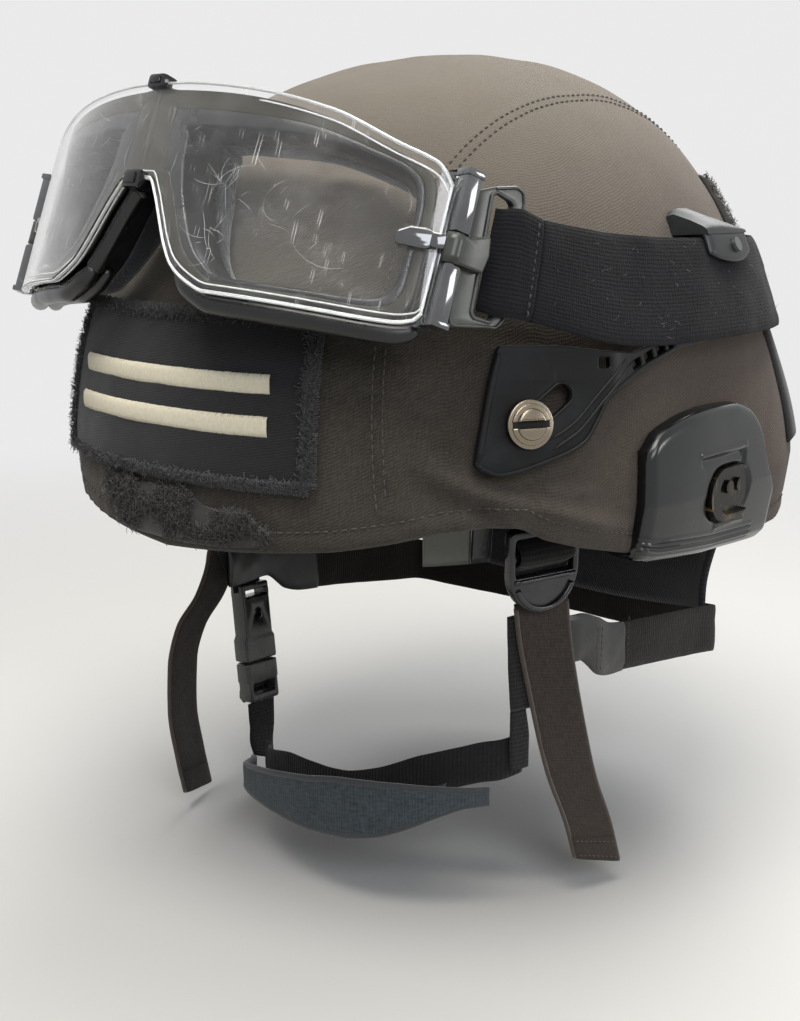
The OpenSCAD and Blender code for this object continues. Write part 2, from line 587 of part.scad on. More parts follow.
module rim_clip_screws() {
  color("#8b7a55") {
    clip_boss();
    clip_screws();
    other_side() {
      clip_boss();
      clip_screws();
    }
  }
}

// Visor bracket: plate on the temple held by one slotted screw
hub_a = 51.8;
hub_z = 51.7;
hub_yaw = 60.6;
hub_pitch = 8;
hub = dome(hub_a, hub_z, 0);
plate_lo = 1.5;
slot_dir = 36.6;
bore_r = shank_r + 0.5;
module at_hub() {
  translate(hub) rotate([0, -hub_pitch, hub_yaw]) rotate([90, 0, 90]) children();
}
module left_bracket() {
  arm_a = 23.4;
  color("#1b1e20") at_hub() {
    translate([0, 0, plate_lo]) difference() {
      linear_extrude(plate_t) polygon([[-9.6, 22.1], [-12.4, 13.1], [-18.4, -12.6], [-16.1, -14.9], [-10.2, -17.1], [5.2, -14.1],
        [19.2, -8.6], [24.7, -1], [28.4, 5], [32, 7], [32, 20], [27.1, 20.8], [11.6, 22.9], [-8.6, 23.6]]);
      translate([0, -1, -1]) rotate([0, 0, slot_dir]) {
        cylinder(r = bore_r, h = plate_t + 2, $fn = 32);
        translate([0, -bore_r, 0]) cube([slot_l, 2 * bore_r, plate_t + 2]);
        translate([slot_l, 0, 0]) cylinder(r = bore_r, h = plate_t + 2, $fn = 32);
      }
    }
    translate([31.5, 0, plate_lo + plate_t]) rotate([0, arm_a, 0]) {
      translate([0, 0, -plate_t]) linear_extrude(plate_t) polygon([[0, 7], [13, 13.8], [31, 20], [31, 27], [20, 23], [8, 19], [0, 20]]);
      translate([30.6, 0, 0]) rotate([0, 30 - arm_a, 0]) translate([0, 0, -plate_t]) linear_extrude(plate_t)
        polygon([[0, 20], [30, 24], [56, 26], [56, 31], [30, 30], [0, 27]]);
    }
  }
}
module right_bracket() {
  other_side() left_bracket();
}
insert_r = 5.5;
insert_lo = shell_i + 0.6;
module insert_hole() {
  at_hub() translate([0, -1, -14]) cylinder(r = insert_r + 0.2, h = 20, $fn = 32);
}
module insert_holes() {
  insert_hole();
  other_side() insert_hole();
}
module insert() {
  at_hub() translate([0, -1, 0]) difference() {
    union() {
      translate([0, 0, insert_lo]) cylinder(r = insert_r, h = plate_lo - seat - insert_lo, $fn = 32);
      translate([0, 0, seat]) cylinder(r = insert_r + 2.5, h = plate_lo - 2 * seat, $fn = 32);
    }
    translate([0, 0, insert_lo - 1]) cylinder(r = shank_r + run, h = 20, $fn = 32);
  }
}
module bracket_inserts() {
  color("#6d6a60") {
    insert();
    other_side() insert();
  }
}
module left_screw() {
  color("#8d867b") at_hub() translate([0, -1, 0]) difference() {
    union() {
      translate([0, 0, insert_lo + 0.4]) cylinder(r = shank_r, h = plate_lo + plate_t + seat + 1 - insert_lo - 0.4, $fn = 32);
      translate([0, 0, plate_lo + plate_t + seat]) cylinder(r = head_r, h = head_t - 1, $fn = 64);
      translate([0, 0, plate_lo + plate_t + seat]) cylinder(r = head_r - 1.4, h = head_t, $fn = 64);
    }
    translate([-head_r - 1, -0.9, plate_lo + plate_t + seat + head_t - 0.9]) cube([2 * head_r + 2, 1.8, 4]);
  }
}
module right_screw() {
  other_side() left_screw();
}

// Harness: a flat frame on the ladder lock, x forward along it, h outward and z up
lock_p = [44, 87.5, -8];
lock_yaw = 75;
lock_f = [sin(lock_yaw), -cos(lock_yaw), 0];
lock_d = [cos(lock_yaw), sin(lock_yaw), 0];
lock_t = 4;
behind = lock_t / 2 + 0.4 + web_t / 2;
function lk(x, z, h) = [lock_p[0], lock_p[1], 0] + lock_f * x + lock_d * h + [0, 0, z];
lock_hi = lock_p[2] + lock_h / 2;
lock_lo = lock_p[2] - lock_h / 2;
module at_lock() {
  translate(lock_p) rotate([0, 0, lock_yaw]) rotate([90, 0, 90]) children();
}
web_in = hem_i - 0.5 - web_t / 2;
module left_harness_web() {
  color("#2b2a27") ribbon([
    [dome(57, 36, shell_i - seat - web_t / 2), dome(69.5, 36, shell_i - seat - web_t / 2)],
    [dome(57, 28, trim_i - seat - web_t / 2), dome(69.5, 26, trim_i - seat - web_t / 2)],
    [dome(57, 21, web_in), dome(69.5, 18, web_in)],
    [lk(web_w / 2 + 1, lock_hi + 6.5, 6), lk(-web_w / 2 + 1, lock_hi + 6, 6)],
    [lk(web_w / 2, lock_hi + 3, -behind), lk(-web_w / 2, lock_hi + 3, -behind)],
    [lk(web_w / 2, lock_p[2] - 5, -behind), lk(-web_w / 2, lock_p[2] - 5, -behind)]], web_t);
}
module right_harness_web() {
  other_side() left_harness_web();
}
module harness_bolt() {
  translate(dome(63.2, 31, shell_i - 2 * seat - web_t - 4.6)) rotate([0, 90, 63.2]) cylinder(r = 4.5, h = 2.4, $fn = 24);
}
module harness_bolts() {
  color("#2b2d2e") {
    harness_bolt();
    other_side() harness_bolt();
  }
}
lock_bar = 3.2;
win_hi = 4.6;
win_lo = 5.8;
module left_ladder_lock() {
  y1 = lock_h / 2 - lock_bar - win_hi;
  y2 = y1 - lock_bar - win_lo;
  color("#202224") at_lock() {
    difference() {
      union() {
        translate([-lock_w / 2, -lock_h / 2 + 9, -lock_t / 2]) cube([lock_w, lock_h - 9, lock_t]);
        intersection() {
          translate([0, -lock_h / 2 + lock_w / 2, -lock_t / 2]) cylinder(r = lock_w / 2, h = lock_t, $fn = 48);
          translate([-lock_w / 2, -lock_h / 2, -lock_t / 2]) cube([lock_w, 12, lock_t]);
        }
      }
      translate([-web_w / 2 - 0.6, y1, -lock_t]) cube([web_w + 1.2, win_hi, 2 * lock_t]);
      translate([-web_w / 2 - 0.6, y2, -lock_t]) cube([web_w + 1.2, win_lo, 2 * lock_t]);
    }
  }
}
module right_ladder_lock() {
  other_side() left_ladder_lock();
}

// Nape strap from a stitched junction behind the lock, round under the nape pad
chin_h = -behind - web_t - 0.5;
join_t = web_t + 1.4;
join_h = chin_h - web_t / 2 - 0.6 - join_t / 2;
module left_junction() {
  ribbon([[lk(3, -48, join_h), lk(3, -30, join_h)], [lk(-26, -50, join_h), lk(-26, -31.5, join_h)],
    [[4, 86.6, -59], [5, 86.6, -35.5]], [[-5, 86, -61.7], [-4, 86, -40]], [[-16, 85.4, -63], [-15, 85.4, -42.5]]], join_t);
}
module nape_junction() {
  color("#191a1b") {
    left_junction();
    other_side() left_junction();
  }
}
nape_h = hem_i + 0.6 + web_t / 2;
nape_l = concat([[[-16.6, 85.3, -62.2], [-15.6, 85.3, -42.8]], [[-42, 86, -66.5], [-42, 86, -46]],
  [[-70, 85, -71], [-70, 85, -50]]],
  [for (b = [[136, -74, -53], [144, -78, -57.5], [153, -82, -62], [163, -84.5, -64.5], [172, -86, -66]])
    let (o = nape_h - nape(b[0], 0)) [dome(b[0], b[1], o), dome(b[0], b[2], o)]]);
function across(q) = [for (v = q) [v[0], -v[1], v[2]]];
module nape_strap() {
  n = len(nape_l);
  color("#4a443c") ribbon(concat(nape_l, [for (i = [n - 1 : -1 : 0]) across(nape_l[i])]), web_t);
}

// Free tails that hang from the ladder locks
tail_top = lock_lo + 3;
module left_tail() {
  c = [[9.5, tail_top, -14.8, tail_top], [7.4, -34, -17.3, -38], [2.7, -53, -21.6, -58], [-3.2, -75, -27.4, -80.5],
    [-8, -90, -32, -96], [-17.4, -112, -41, -118], [-22.6, -128, -46.6, -136]];
  m = (web_w - 25) / 2;
  color("#3c3730") ribbon([for (q = c) [lk(q[0] + m, q[1], -behind), lk(q[2] - m, q[3], -behind)]], web_t);
}
module right_tail() {
  c = [[9.5, tail_top, -14.8, tail_top, 0], [9.6, lock_lo - 1.5, -14.8, lock_lo - 1.5, 0], [10, -34, -14.6, -37, 2.5],
    [17, -49, -7, -54, 5], [30, -60, 6, -66, 7], [36, -76, 11.6, -80, 8.2], [37, -96, 12.6, -100, 8.6],
    [33, -120, 8.6, -124, 8.2], [29, -137, 4.6, -142, 7.4]];
  m = (web_w - 25) / 2;
  color("#3c3730") other_side() ribbon([for (q = c) [lk(q[0] + m, q[1], -behind + q[4] * 0.6), lk(q[2] - m, q[3], -behind + q[4])]], web_t);
}

// Chin strap: the left web is sewn in, and all below its fold swings when the buckle is open
fold_z = -62;
module left_chin_web() {
  color("#262522") ribbon([[lk(8.5, fold_z + 0.2, chin_h), lk(-14, fold_z + 0.2, chin_h)],
    [lk(10, -44, chin_h), lk(-15, -44, chin_h)], [lk(11, lock_lo - 2, chin_h), lk(-14, lock_lo - 2, chin_h)]], web_t);
}
module chin_root() {
  color("#262522") ribbon([[lk(8.5, fold_z - 0.2, chin_h), lk(1.4, fold_z - 0.2, chin_h)],
    [lk(8.5, -74, chin_h), lk(-0.4, -74, chin_h)], [lk(8, -85, chin_h), lk(-0.4, -85, chin_h)]], web_t);
}
cup_y = 12;
cup_w = 74;
function bow(y, r, x0) = x0 + r * sqrt(max(1 - pow((y - cup_y) / cup_w, 2), 0));
function front_x(y) = bow(y, 52, 35);
function under_x(y) = bow(y, 36, 30);
function front_hi(y) = lookup(y, [[-70, -126], [-54, -118], [-36, -109], [-14, -102], [8, -96.6], [28, -92], [45, -90.2],
  [60, -89.4], [78, -89.8]]);
function front_lo(y) = lookup(y, [[-70, -132], [-54, -126.5], [-36, -121.5], [-14, -118], [12, -117], [28, -115.3],
  [45, -111], [60, -103], [72, -96.8], [78, -96]]);
function under_hi(y) = lookup(y, [[-71, -122], [-60, -118], [-40, -110], [-17, -103.5], [3, -102], [27, -95], [47, -85],
  [68.5, -76.4], [75.5, -74], [80, -72]]);
band_t = web_t + 0.6;
under_h = 16;
root_in = chin_h - web_t - 0.35;
module front_chin_band() {
  color("#2c2b29") ribbon(concat([for (y = [77.5, 72, 64, 54, 42, 28, 10, -8, -26, -42, -54]) [[front_x(y), y, front_lo(y)],
    [front_x(y), y, front_hi(y)]]], [[[46.4, -64, -130], [46.4, -64, -123.6]], [[41.6, -69.6, -132], [41.6, -69.6, -126]]]), band_t);
}
module under_chin_band() {
  color("#262523") ribbon(concat([[lk(1.2, -88, root_in), lk(1.2, -72, root_in)], [[49.2, 76.4, -90], [49.2, 76.4, -74]]],
    [for (y = [68.5, 58, 47, 27, 10, -8, -24, -40, -54]) [[under_x(y), y, under_hi(y) - under_h], [under_x(y), y, under_hi(y)]]],
    [[[36.6, -63, -135.6], [36.6, -63, -119.4]], [[32.4, -70.4, -138], [32.4, -70.4, -122]]]), web_t);
}
module chin_cup() {
  color("#1e1f1f") ribbon([for (y = [58, 47, 34, 20, 6, -8, -22, -36, -48])
    [[front_x(y) - band_t / 2 - 1.2, y, front_lo(y) + 2], [under_x(y) + web_t / 2 + 0.6, y, under_hi(y) - under_h + 2.5]]], 1.2);
}

// Side-release buckle on the right
buckle_p = [24.8, -82.8, -107];
buckle_lean = 7.8;
buckle_tilt = -1.6;
module at_buckle() {
  translate(buckle_p) rotate([buckle_lean, 0, 0]) rotate([0, buckle_tilt, 0]) children();
}
tongue_l = 14;
tongue_t = 2.6;
tongue_side = 4;
buckle_slot = buckle_w - 5;
module buckle_male() {
  color("#141517") at_buckle() {
    difference() {
      translate([-buckle_w / 2 + 0.6, -buckle_t / 2 + 0.6, 0]) cube([buckle_w - 1.2, buckle_t - 1.2, male_l - 0.4]);
      translate([-buckle_slot / 2, -buckle_t, 4]) cube([buckle_slot, 2 * buckle_t, 4.5]);
    }
    translate([-buckle_w / 2 + tongue_side, -tongue_t / 2, male_l - 1]) cube([buckle_w - 2 * tongue_side, tongue_t, tongue_l]);
  }
}
module buckle_female() {
  neck = 22;
  color("#141517") at_buckle() difference() {
    union() {
      translate([-buckle_w / 2, -buckle_t / 2, male_l]) cube([buckle_w, buckle_t, 10]);
      translate([-buckle_w / 2 + 1.2, -buckle_t / 2 + 1, male_l + 9]) cube([buckle_w - 2.4, buckle_t - 2, female_l - 9]);
    }
    translate([-buckle_w / 2 + tongue_side - 0.9, -tongue_t / 2 - 1.1, male_l - 1])
      cube([buckle_w - 2 * tongue_side + 1.8, tongue_t + 2.2, tongue_l + 2]);
    translate([-buckle_slot / 2, -buckle_t, male_l + female_l - 6]) cube([buckle_slot, 2 * buckle_t, 3]);
    translate([0, 0, male_l + neck]) rotate([90, 0, 0]) cylinder(r = 2, h = 2 * buckle_t, center = true, $fn = 24);
  }
}
buckle_top = buckle_p + [0, -(male_l + female_l) * sin(buckle_lean), (male_l + female_l) * cos(buckle_lean)];
module right_chin_web() {
  h = -chin_h;
  color("#262522") ribbon([[[buckle_top[0] + 8, buckle_top[1], buckle_top[2] + 0.6], [buckle_top[0] - 8, buckle_top[1], buckle_top[2] + 0.6]],
    [[43, -84, -41], [19, -88.6, -41]],
    across([lk(11, lock_lo - 2, chin_h - 0.5), lk(-14, lock_lo - 2, chin_h - 0.5)])], web_t);
}
module buckle_web() {
  z = buckle_p[2] - 0.5;
  color("#262522") ribbon([[[33, -82.3, z], [16.6, -82.3, z]], [[34, -80.2, -117], [17.6, -81.4, -119]],
    [[37.4, -76.2, -123], [21.4, -78.4, -127]], [[39, -72.2, -127], [25, -74.2, -134]]], web_t);
}

aramid_shell();
fabric_cover();
rim_trim();
crown_pad();
front_pad();
rear_pad();
left_side_pad();
right_side_pad();
headband();
nape_pad();
front_loop_panel();
front_patch();
rear_loop_panel();
rear_patch();
left_strap_keeper();
right_strap_keeper();
keeper_rivets();
left_rim_clip();
right_rim_clip();
rim_clip_screws();
bracket_inserts();
left_harness_web();
right_harness_web();
harness_bolts();
left_ladder_lock();
right_ladder_lock();
nape_strap();
nape_junction();
goggle_lens();
goggle_frame();
goggle_foam();
top_clip();
nose_clip();
left_hinge_bar();
right_hinge_bar();
goggle_strap();
left_outrigger();
right_outrigger();
left_strap_loop();
right_strap_loop();
left_bracket();
right_bracket();
left_screw();
right_screw();
left_tail();
right_tail();
left_chin_web();
chin_root();
front_chin_band();
under_chin_band();
chin_cup();
buckle_web();
buckle_male();
buckle_female();
right_chin_web();
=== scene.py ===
# Covered ballistic helmet with goggles on the brow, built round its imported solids.
# X points forward, Y to the wearer's left, Z up. Shapes are worked out in mm and stored in metres.
import json
import math

import bmesh
import bpy
import numpy as np
from mathutils import Matrix, Vector


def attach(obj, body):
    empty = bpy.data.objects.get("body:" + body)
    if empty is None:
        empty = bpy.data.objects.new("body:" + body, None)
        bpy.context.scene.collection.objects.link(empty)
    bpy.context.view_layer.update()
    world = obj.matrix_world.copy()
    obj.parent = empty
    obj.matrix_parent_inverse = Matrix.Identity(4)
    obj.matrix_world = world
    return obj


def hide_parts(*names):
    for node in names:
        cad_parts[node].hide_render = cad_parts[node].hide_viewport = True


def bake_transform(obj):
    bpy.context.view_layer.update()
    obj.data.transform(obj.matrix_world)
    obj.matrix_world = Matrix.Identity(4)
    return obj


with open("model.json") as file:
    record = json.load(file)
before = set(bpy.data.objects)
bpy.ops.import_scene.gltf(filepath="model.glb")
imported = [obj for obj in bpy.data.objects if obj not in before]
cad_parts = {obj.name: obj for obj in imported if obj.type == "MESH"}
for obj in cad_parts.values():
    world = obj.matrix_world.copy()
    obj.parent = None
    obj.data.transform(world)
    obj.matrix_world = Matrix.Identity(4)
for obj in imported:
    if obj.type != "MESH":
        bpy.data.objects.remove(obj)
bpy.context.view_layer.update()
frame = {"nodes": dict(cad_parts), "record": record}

# Camera and studio
# A hand-held camera a little above the brow, in front of the wearer's left temple.
# The helmet hangs over a pale floor under five soft boxes and an even sky.
MM = 0.001
camera_at = Vector((414.4, 347.7, 120.2)) * MM
camera_azimuth, camera_pitch, camera_roll = -138.55, -13.4, 0.1
camera_mm = 59.53
backdrop, backdrop_level = "#f3f3f3", 0.92


def lin(colour):
    """Linear RGBA of an sRGB hex colour, by the sRGB transfer curve."""
    value = np.array([int(colour[i:i + 2], 16) for i in (1, 3, 5)]) / 255
    curve = np.where(value <= 0.04045, value / 12.92, ((value + 0.055) / 1.055) ** 2.4)
    return (*curve.tolist(), 1.0)


def add(tree, kind, inputs=None, **settings):
    """One shader node with its settings; an input is a value or another node's output socket."""
    made = tree.nodes.new("ShaderNode" + kind)
    for key, value in settings.items():
        setattr(made, key, value)
    for key, value in (inputs or {}).items():
        if isinstance(value, bpy.types.NodeSocket):
            tree.links.new(value, made.inputs[key])
        else:
            made.inputs[key].default_value = value
    return made


def shown_rays(tree):
    """1 for camera, glossy and transmission rays, which show the backdrop, and 0 for the rest."""
    rays = add(tree, "LightPath").outputs
    seen = add(tree, "Math", {0: rays["Is Camera Ray"], 1: rays["Is Glossy Ray"]}, operation="MAXIMUM")
    return add(tree, "Math", {0: seen.outputs[0], 1: rays["Is Transmission Ray"]},
               operation="MAXIMUM").outputs[0]


lens_cam = bpy.data.cameras.new("view")
lens_cam.sensor_fit = "HORIZONTAL"
lens_cam.sensor_width = 36
lens_cam.lens = camera_mm
lens_cam.clip_start = 0.02
lens_cam.clip_end = 50
eye = bpy.data.objects.new("view", lens_cam)
bpy.context.collection.objects.link(eye)
az, pitch = math.radians(camera_azimuth), math.radians(camera_pitch)
looking = Vector((math.cos(pitch) * math.cos(az), math.cos(pitch) * math.sin(az), math.sin(pitch)))
turned = looking.to_track_quat("-Z", "Y").to_matrix() @ Matrix.Rotation(math.radians(camera_roll), 3, "Z")
eye.matrix_world = Matrix.Translation(camera_at) @ turned.to_4x4()
bpy.context.scene.camera = eye
bpy.context.scene.view_settings.view_transform = "Standard"

floor_z, floor_half = -0.146, 6.0
floor_mesh = bpy.data.meshes.new("floor")
square = ((-1, -1), (1, -1), (1, 1), (-1, 1))
floor_mesh.from_pydata([(x * floor_half, y * floor_half, floor_z) for x, y in square], [], [(0, 1, 2, 3)])
floor = bpy.data.objects.new("floor", floor_mesh)
bpy.context.collection.objects.link(floor)
# Matt paper, darker to diffuse rays so that little light comes back up, and glowing far away
paper = bpy.data.materials.new("pale_floor")
paper.use_nodes = True
t = paper.node_tree
matt = t.nodes["Principled BSDF"]
matt.inputs["Roughness"].default_value = 0.7
rays = add(t, "LightPath")
bounce = add(t, "MixRGB", {"Fac": rays.outputs["Is Diffuse Ray"], "Color1": lin("#cfcfcd"),
                           "Color2": lin("#989896")})
t.links.new(bounce.outputs[0], matt.inputs["Base Color"])
far_off = add(t, "VectorMath", {0: add(t, "TexCoord").outputs["Object"]}, operation="LENGTH")
away = add(t, "MapRange", {"Value": far_off.outputs["Value"], 1: 0.3, 2: 1.0},
           interpolation_type="SMOOTHSTEP")
shown = add(t, "Math", {0: shown_rays(t), 1: away.outputs[0]}, operation="MULTIPLY")
glow = add(t, "Emission", {"Color": lin(backdrop), "Strength": backdrop_level})
both = add(t, "MixShader", {0: shown.outputs[0], 1: matt.outputs[0], 2: glow.outputs[0]})
t.links.new(both.outputs[0], t.nodes["Material Output"].inputs["Surface"])
floor_mesh.materials.append(paper)

sky = bpy.data.worlds.new("studio")
bpy.context.scene.world = sky
sky.use_nodes = True
t = sky.node_tree
for old in list(t.nodes):
    t.nodes.remove(old)
plain = add(t, "Background", {"Color": lin("#f2f3f4"), "Strength": 0.2})
shown = add(t, "Background", {"Color": lin(backdrop), "Strength": backdrop_level})
both = add(t, "MixShader", {0: shown_rays(t), 1: plain.outputs[0], 2: shown.outputs[0]})
add(t, "OutputWorld", {"Surface": both.outputs[0]})


def softbox(name, place, size, power, colour):
    """Area lamp at a place in metres, turned to the middle of the helmet."""
    lamp = bpy.data.lights.new(name, "AREA")
    lamp.shape = "RECTANGLE"
    lamp.size, lamp.size_y = size
    lamp.energy = power
    lamp.color = lin(colour)[:3]
    held = bpy.data.objects.new(name, lamp)
    bpy.context.collection.objects.link(held)
    held.location = place
    held.rotation_euler = (Vector((0, 0, 0.03)) - Vector(place)).to_track_quat("-Z", "Y").to_euler()


softbox("key_box", (0.55, 0.25, 1.25), (0.9, 0.6), 16.0, "#fffaf2")
softbox("top_box", (-0.1, 0.1, 1.2), (0.7, 0.7), 5.4, "#fffdf8")
softbox("fill_box", (0.75, 1.05, 0.75), (0.7, 0.5), 6.4, "#f4f7ff")
softbox("strip_box", (-0.46, 1.17, 0.28), (0.36, 0.3), 2.8, "#ffffff")
softbox("rim_box", (-0.9, -0.3, 0.9), (0.8, 0.8), 8.0, "#ffffff")

# Shell and edge trim
# Pressed aramid shell, painted matt black inside, with a black rubber edge trim glued over
# its rim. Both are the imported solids: only their inner faces and the rim show.
slot_of = {s["node"]: s["material_slot"] for s in frame["record"]["subparts"]}


def shader(name, colour, roughness, **sockets):
    """Material of one Principled shader; its constants are set on the shader's own sockets."""
    material = bpy.data.materials.new(name)
    material.use_nodes = True
    tree = material.node_tree
    bsdf = tree.nodes["Principled BSDF"]
    bsdf.inputs["Base Color"].default_value = lin(colour)
    bsdf.inputs["Roughness"].default_value = roughness
    for key, value in sockets.items():
        bsdf.inputs[key.replace("_", " ")].default_value = value
    return material, tree, bsdf


def worn(name, colour, dust, roughness, grain=0.0012, scuff=0.3, bump=0.00004, gloss_spread=0.12,
         **sockets):
    """Moulded or painted surface: fine orange-peel, cloudy dust and long thin scratches.
    grain is the size of the orange-peel in metres; dust is the colour of rubbed places."""
    material, tree, bsdf = shader(name, colour, roughness, **sockets)
    place = add(tree, "TexCoord").outputs["Object"]
    cloud = add(tree, "TexNoise", {"Vector": place, "Scale": 42.0, "Detail": 6.0, "Roughness": 0.6})
    patchy = add(tree, "MapRange", {"Value": cloud.outputs["Fac"], 1: 0.48, 2: 0.72, 3: 0.0, 4: scuff})
    streak_at = add(tree, "Mapping",
                    {"Vector": place, "Rotation": (0.4, 0.9, 0.3), "Scale": (900.0, 26.0, 60.0)})
    streak = add(tree, "TexNoise", {"Vector": streak_at.outputs[0], "Scale": 1.0, "Detail": 2.0})
    line = add(tree, "MapRange", {"Value": streak.outputs["Fac"], 1: 0.68, 2: 0.74, 3: 0.0, 4: scuff})
    rubbed = add(tree, "Math", {0: patchy.outputs[0], 1: line.outputs[0]}, operation="MAXIMUM")
    tint = add(tree, "MixRGB", {"Fac": rubbed.outputs[0], "Color1": lin(colour), "Color2": lin(dust)})
    tree.links.new(tint.outputs[0], bsdf.inputs["Base Color"])
    gloss = add(tree, "MapRange", {"Value": cloud.outputs["Fac"], 1: 0.3, 2: 0.7,
                                   3: max(roughness - gloss_spread, 0.04), 4: roughness + gloss_spread})
    tree.links.new(gloss.outputs[0], bsdf.inputs["Roughness"])
    peel = add(tree, "TexNoise", {"Vector": place, "Scale": 1 / grain, "Detail": 2.0})
    raised = add(tree, "Bump", {"Height": peel.outputs["Fac"], "Distance": bump, "Strength": 0.8})
    tree.links.new(raised.outputs[0], bsdf.inputs["Normal"])
    return material


def dress(node, material):
    """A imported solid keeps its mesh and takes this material."""
    mesh = frame["nodes"][node].data
    mesh.materials.clear()
    mesh.materials.append(material)


shell_paint = worn("aramid_paint_black", "#232422", "#4a4a46", 0.62, grain=0.0009, bump=0.00008)
trim_rubber = worn("edge_rubber_black", "#121314", "#3a3a39", 0.55, grain=0.0006)
dress("aramid_shell", shell_paint)
dress("rim_trim", trim_rubber)

# Cloth cover
# Faded cotton twill cut in three panels: two lapped seams run over the crown with double
# topstitching, and the hem is turned up inside the rim. It is creased under the brackets.
front_len, rear_len, half_w = 143.5, 146.5, 126.5
wide_z, crown_z, crown_back, tuck = 20.0, 173.0, 11.0, 3.0
plan_n, nape_flare, nape_z = 2.24, 9.5, 85.0
rim_a = [0, 12, 27, 34, 41, 47, 52, 56, 62, 75, 90, 135, 180]
rim_z = [4, 6.4, 10, 13, 16.7, 18, 17, 12, 7.7, 0.7, -2.5, -7, -6]


def ease(t):
    """Smooth step: 3t^2 - 2t^3, held at 0 and 1 outside them."""
    t = np.clip(t, 0, 1)
    return t * t * (3 - 2 * t)


def nape(a, z):
    """How far the helmet flares out behind: nothing at the sides and above the flare."""
    back = np.degrees(np.arccos(np.cos(np.radians(a))))
    return nape_flare * ease((back - 90) / 40) * ease((nape_z - z) / (nape_z - 10))


def dome(a, z, o):
    """Point of the helmet's form at bearing a (degrees), height z and offset o outward, in mm:
    a superellipse in plan whose radius shrinks with height by a power curve up to the crown."""
    a, z = np.broadcast_arrays(np.asarray(a, float), np.asarray(z, float))
    c, s = np.cos(np.radians(a)), np.sin(np.radians(a))
    length = np.where(c > 0, front_len, rear_len) + o
    plan = ((abs(c) / length) ** plan_n + (abs(s) / (half_w + o)) ** plan_n) ** (-1 / plan_n)
    rise_n = 2 + np.where(c > 0, 0.45, -0.3) * c * c
    draw_n = 2.4 + np.where(c > 0, -0.4, -0.2) * c * c
    h = (z - wide_z) / (crown_z - wide_z + o)
    up = np.clip(h, 0, 1)
    low = plan - tuck * np.minimum((wide_z - z) / wide_z, 1.3)
    r = np.where(h < 0, low, plan * np.maximum(1 - up ** rise_n, 0) ** (1 / draw_n)) + nape(a, z)
    return np.stack([r * c - crown_back * up ** 2, r * s, z + 0 * r], -1)


def clear_of(p):
    """How far points stand outside the cover, measured level."""
    up = np.clip((p[..., 2] - wide_z) / (crown_z - wide_z), 0, 1)
    x = p[..., 0] + crown_back * up ** 2
    a = np.degrees(np.arctan2(p[..., 1], x))
    on = dome(a, np.minimum(p[..., 2], crown_z - 1), 0)
    return np.hypot(x, p[..., 1]) - np.hypot(on[..., 0] + crown_back * up ** 2, on[..., 1])


def rim(a):
    """Height of the rim at a bearing."""
    return np.interp(abs((np.asarray(a, float) + 180) % 360 - 180), rim_a, rim_z)


def unit(v):
    """Vectors over their lengths."""
    return v / np.maximum(np.linalg.norm(v, axis=-1, keepdims=True), 1e-9)


def run_of(path):
    """Length in mm along a path of points up to each of them."""
    return np.concatenate([[0], np.cumsum(np.linalg.norm(np.diff(path, axis=0), axis=1))])


def surface(name, p, uv=None, wrap=False, ends=False, sharp=None):
    """Mesh of quads over a grid of points p in mm. wrap joins the last column to the first,
    ends closes the first and last rows, and uv (in metres) has one column more when wrapped."""
    rows, cols = p.shape[:2]
    span = cols if wrap else cols - 1
    i, j = (g.ravel() for g in np.meshgrid(np.arange(rows - 1), np.arange(span), indexing="ij"))
    corners = [(i, j), (i, j + 1), (i + 1, j + 1), (i + 1, j)]
    quads = np.stack([a * cols + b % cols for a, b in corners], -1)
    faces = quads.tolist()
    if ends:
        faces += [list(range(cols))[::-1], list(range((rows - 1) * cols, rows * cols))]
    mesh = bpy.data.meshes.new(name)
    mesh.from_pydata((p.reshape(-1, 3) * MM).tolist(), [], faces)
    if uv is not None:
        flat = np.concatenate([np.stack([uv[a, b] for a, b in corners], 1).reshape(-1, 2),
                               *([uv[0, :cols][::-1], uv[-1, :cols]] if ends else [])])
        mesh.uv_layers.new(name="UVMap").data.foreach_set("uv", flat.ravel())
    return tidy(mesh, sharp)


def tidy(mesh, sharp=None, merge=0.0):
    """Turns the faces outward, merges doubles, and shades smooth up to the sharp angle."""
    b = bmesh.new()
    b.from_mesh(mesh)
    if merge:
        bmesh.ops.remove_doubles(b, verts=b.verts, dist=merge)
    bmesh.ops.recalc_face_normals(b, faces=b.faces)
    b.to_mesh(mesh)
    b.free()
    mesh.polygons.foreach_set("use_smooth", np.ones(len(mesh.polygons), bool))
    if sharp:
        mesh.set_sharp_from_angle(angle=math.radians(sharp))
    mesh.update()
    return mesh


def piece(name, mesh, material, body, *nodes, slot=None):
    """Object for a finished mesh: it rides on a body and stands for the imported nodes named."""
    made = bpy.data.objects.new(name, mesh)
    bpy.context.collection.objects.link(made)
    mesh.materials.append(material)
    if body:
        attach(made, body)
    if nodes:
        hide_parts(*nodes)
    return made


def to_line(p, path):
    """Distance in mm from each point of a grid to a polyline, and how far along it (0 to 1)."""
    path = np.asarray(path, float)
    start = run_of(path)
    step = np.diff(start)
    best = np.full(p.shape[:-1], 1e9)
    along = np.zeros(p.shape[:-1])
    for k in range(len(path) - 1):
        edge = path[k + 1] - path[k]
        t = np.clip(((p - path[k]) @ edge) / (edge @ edge), 0, 1)
        d = np.linalg.norm(p - path[k] - t[..., None] * edge, axis=-1)
        near = d < best
        best = np.where(near, d, best)
        along = np.where(near, (start[k] + t * step[k]) / start[-1], along)
    return best, along


def crease(p, path, height, width):
    """A fold along a path: a ridge of Gaussian section that dies out at both ends."""
    d, s = to_line(p, path)
    return height * np.exp(-(d / width) ** 2) * np.clip(np.minimum(s, 1 - s) * 5, 0, 1)


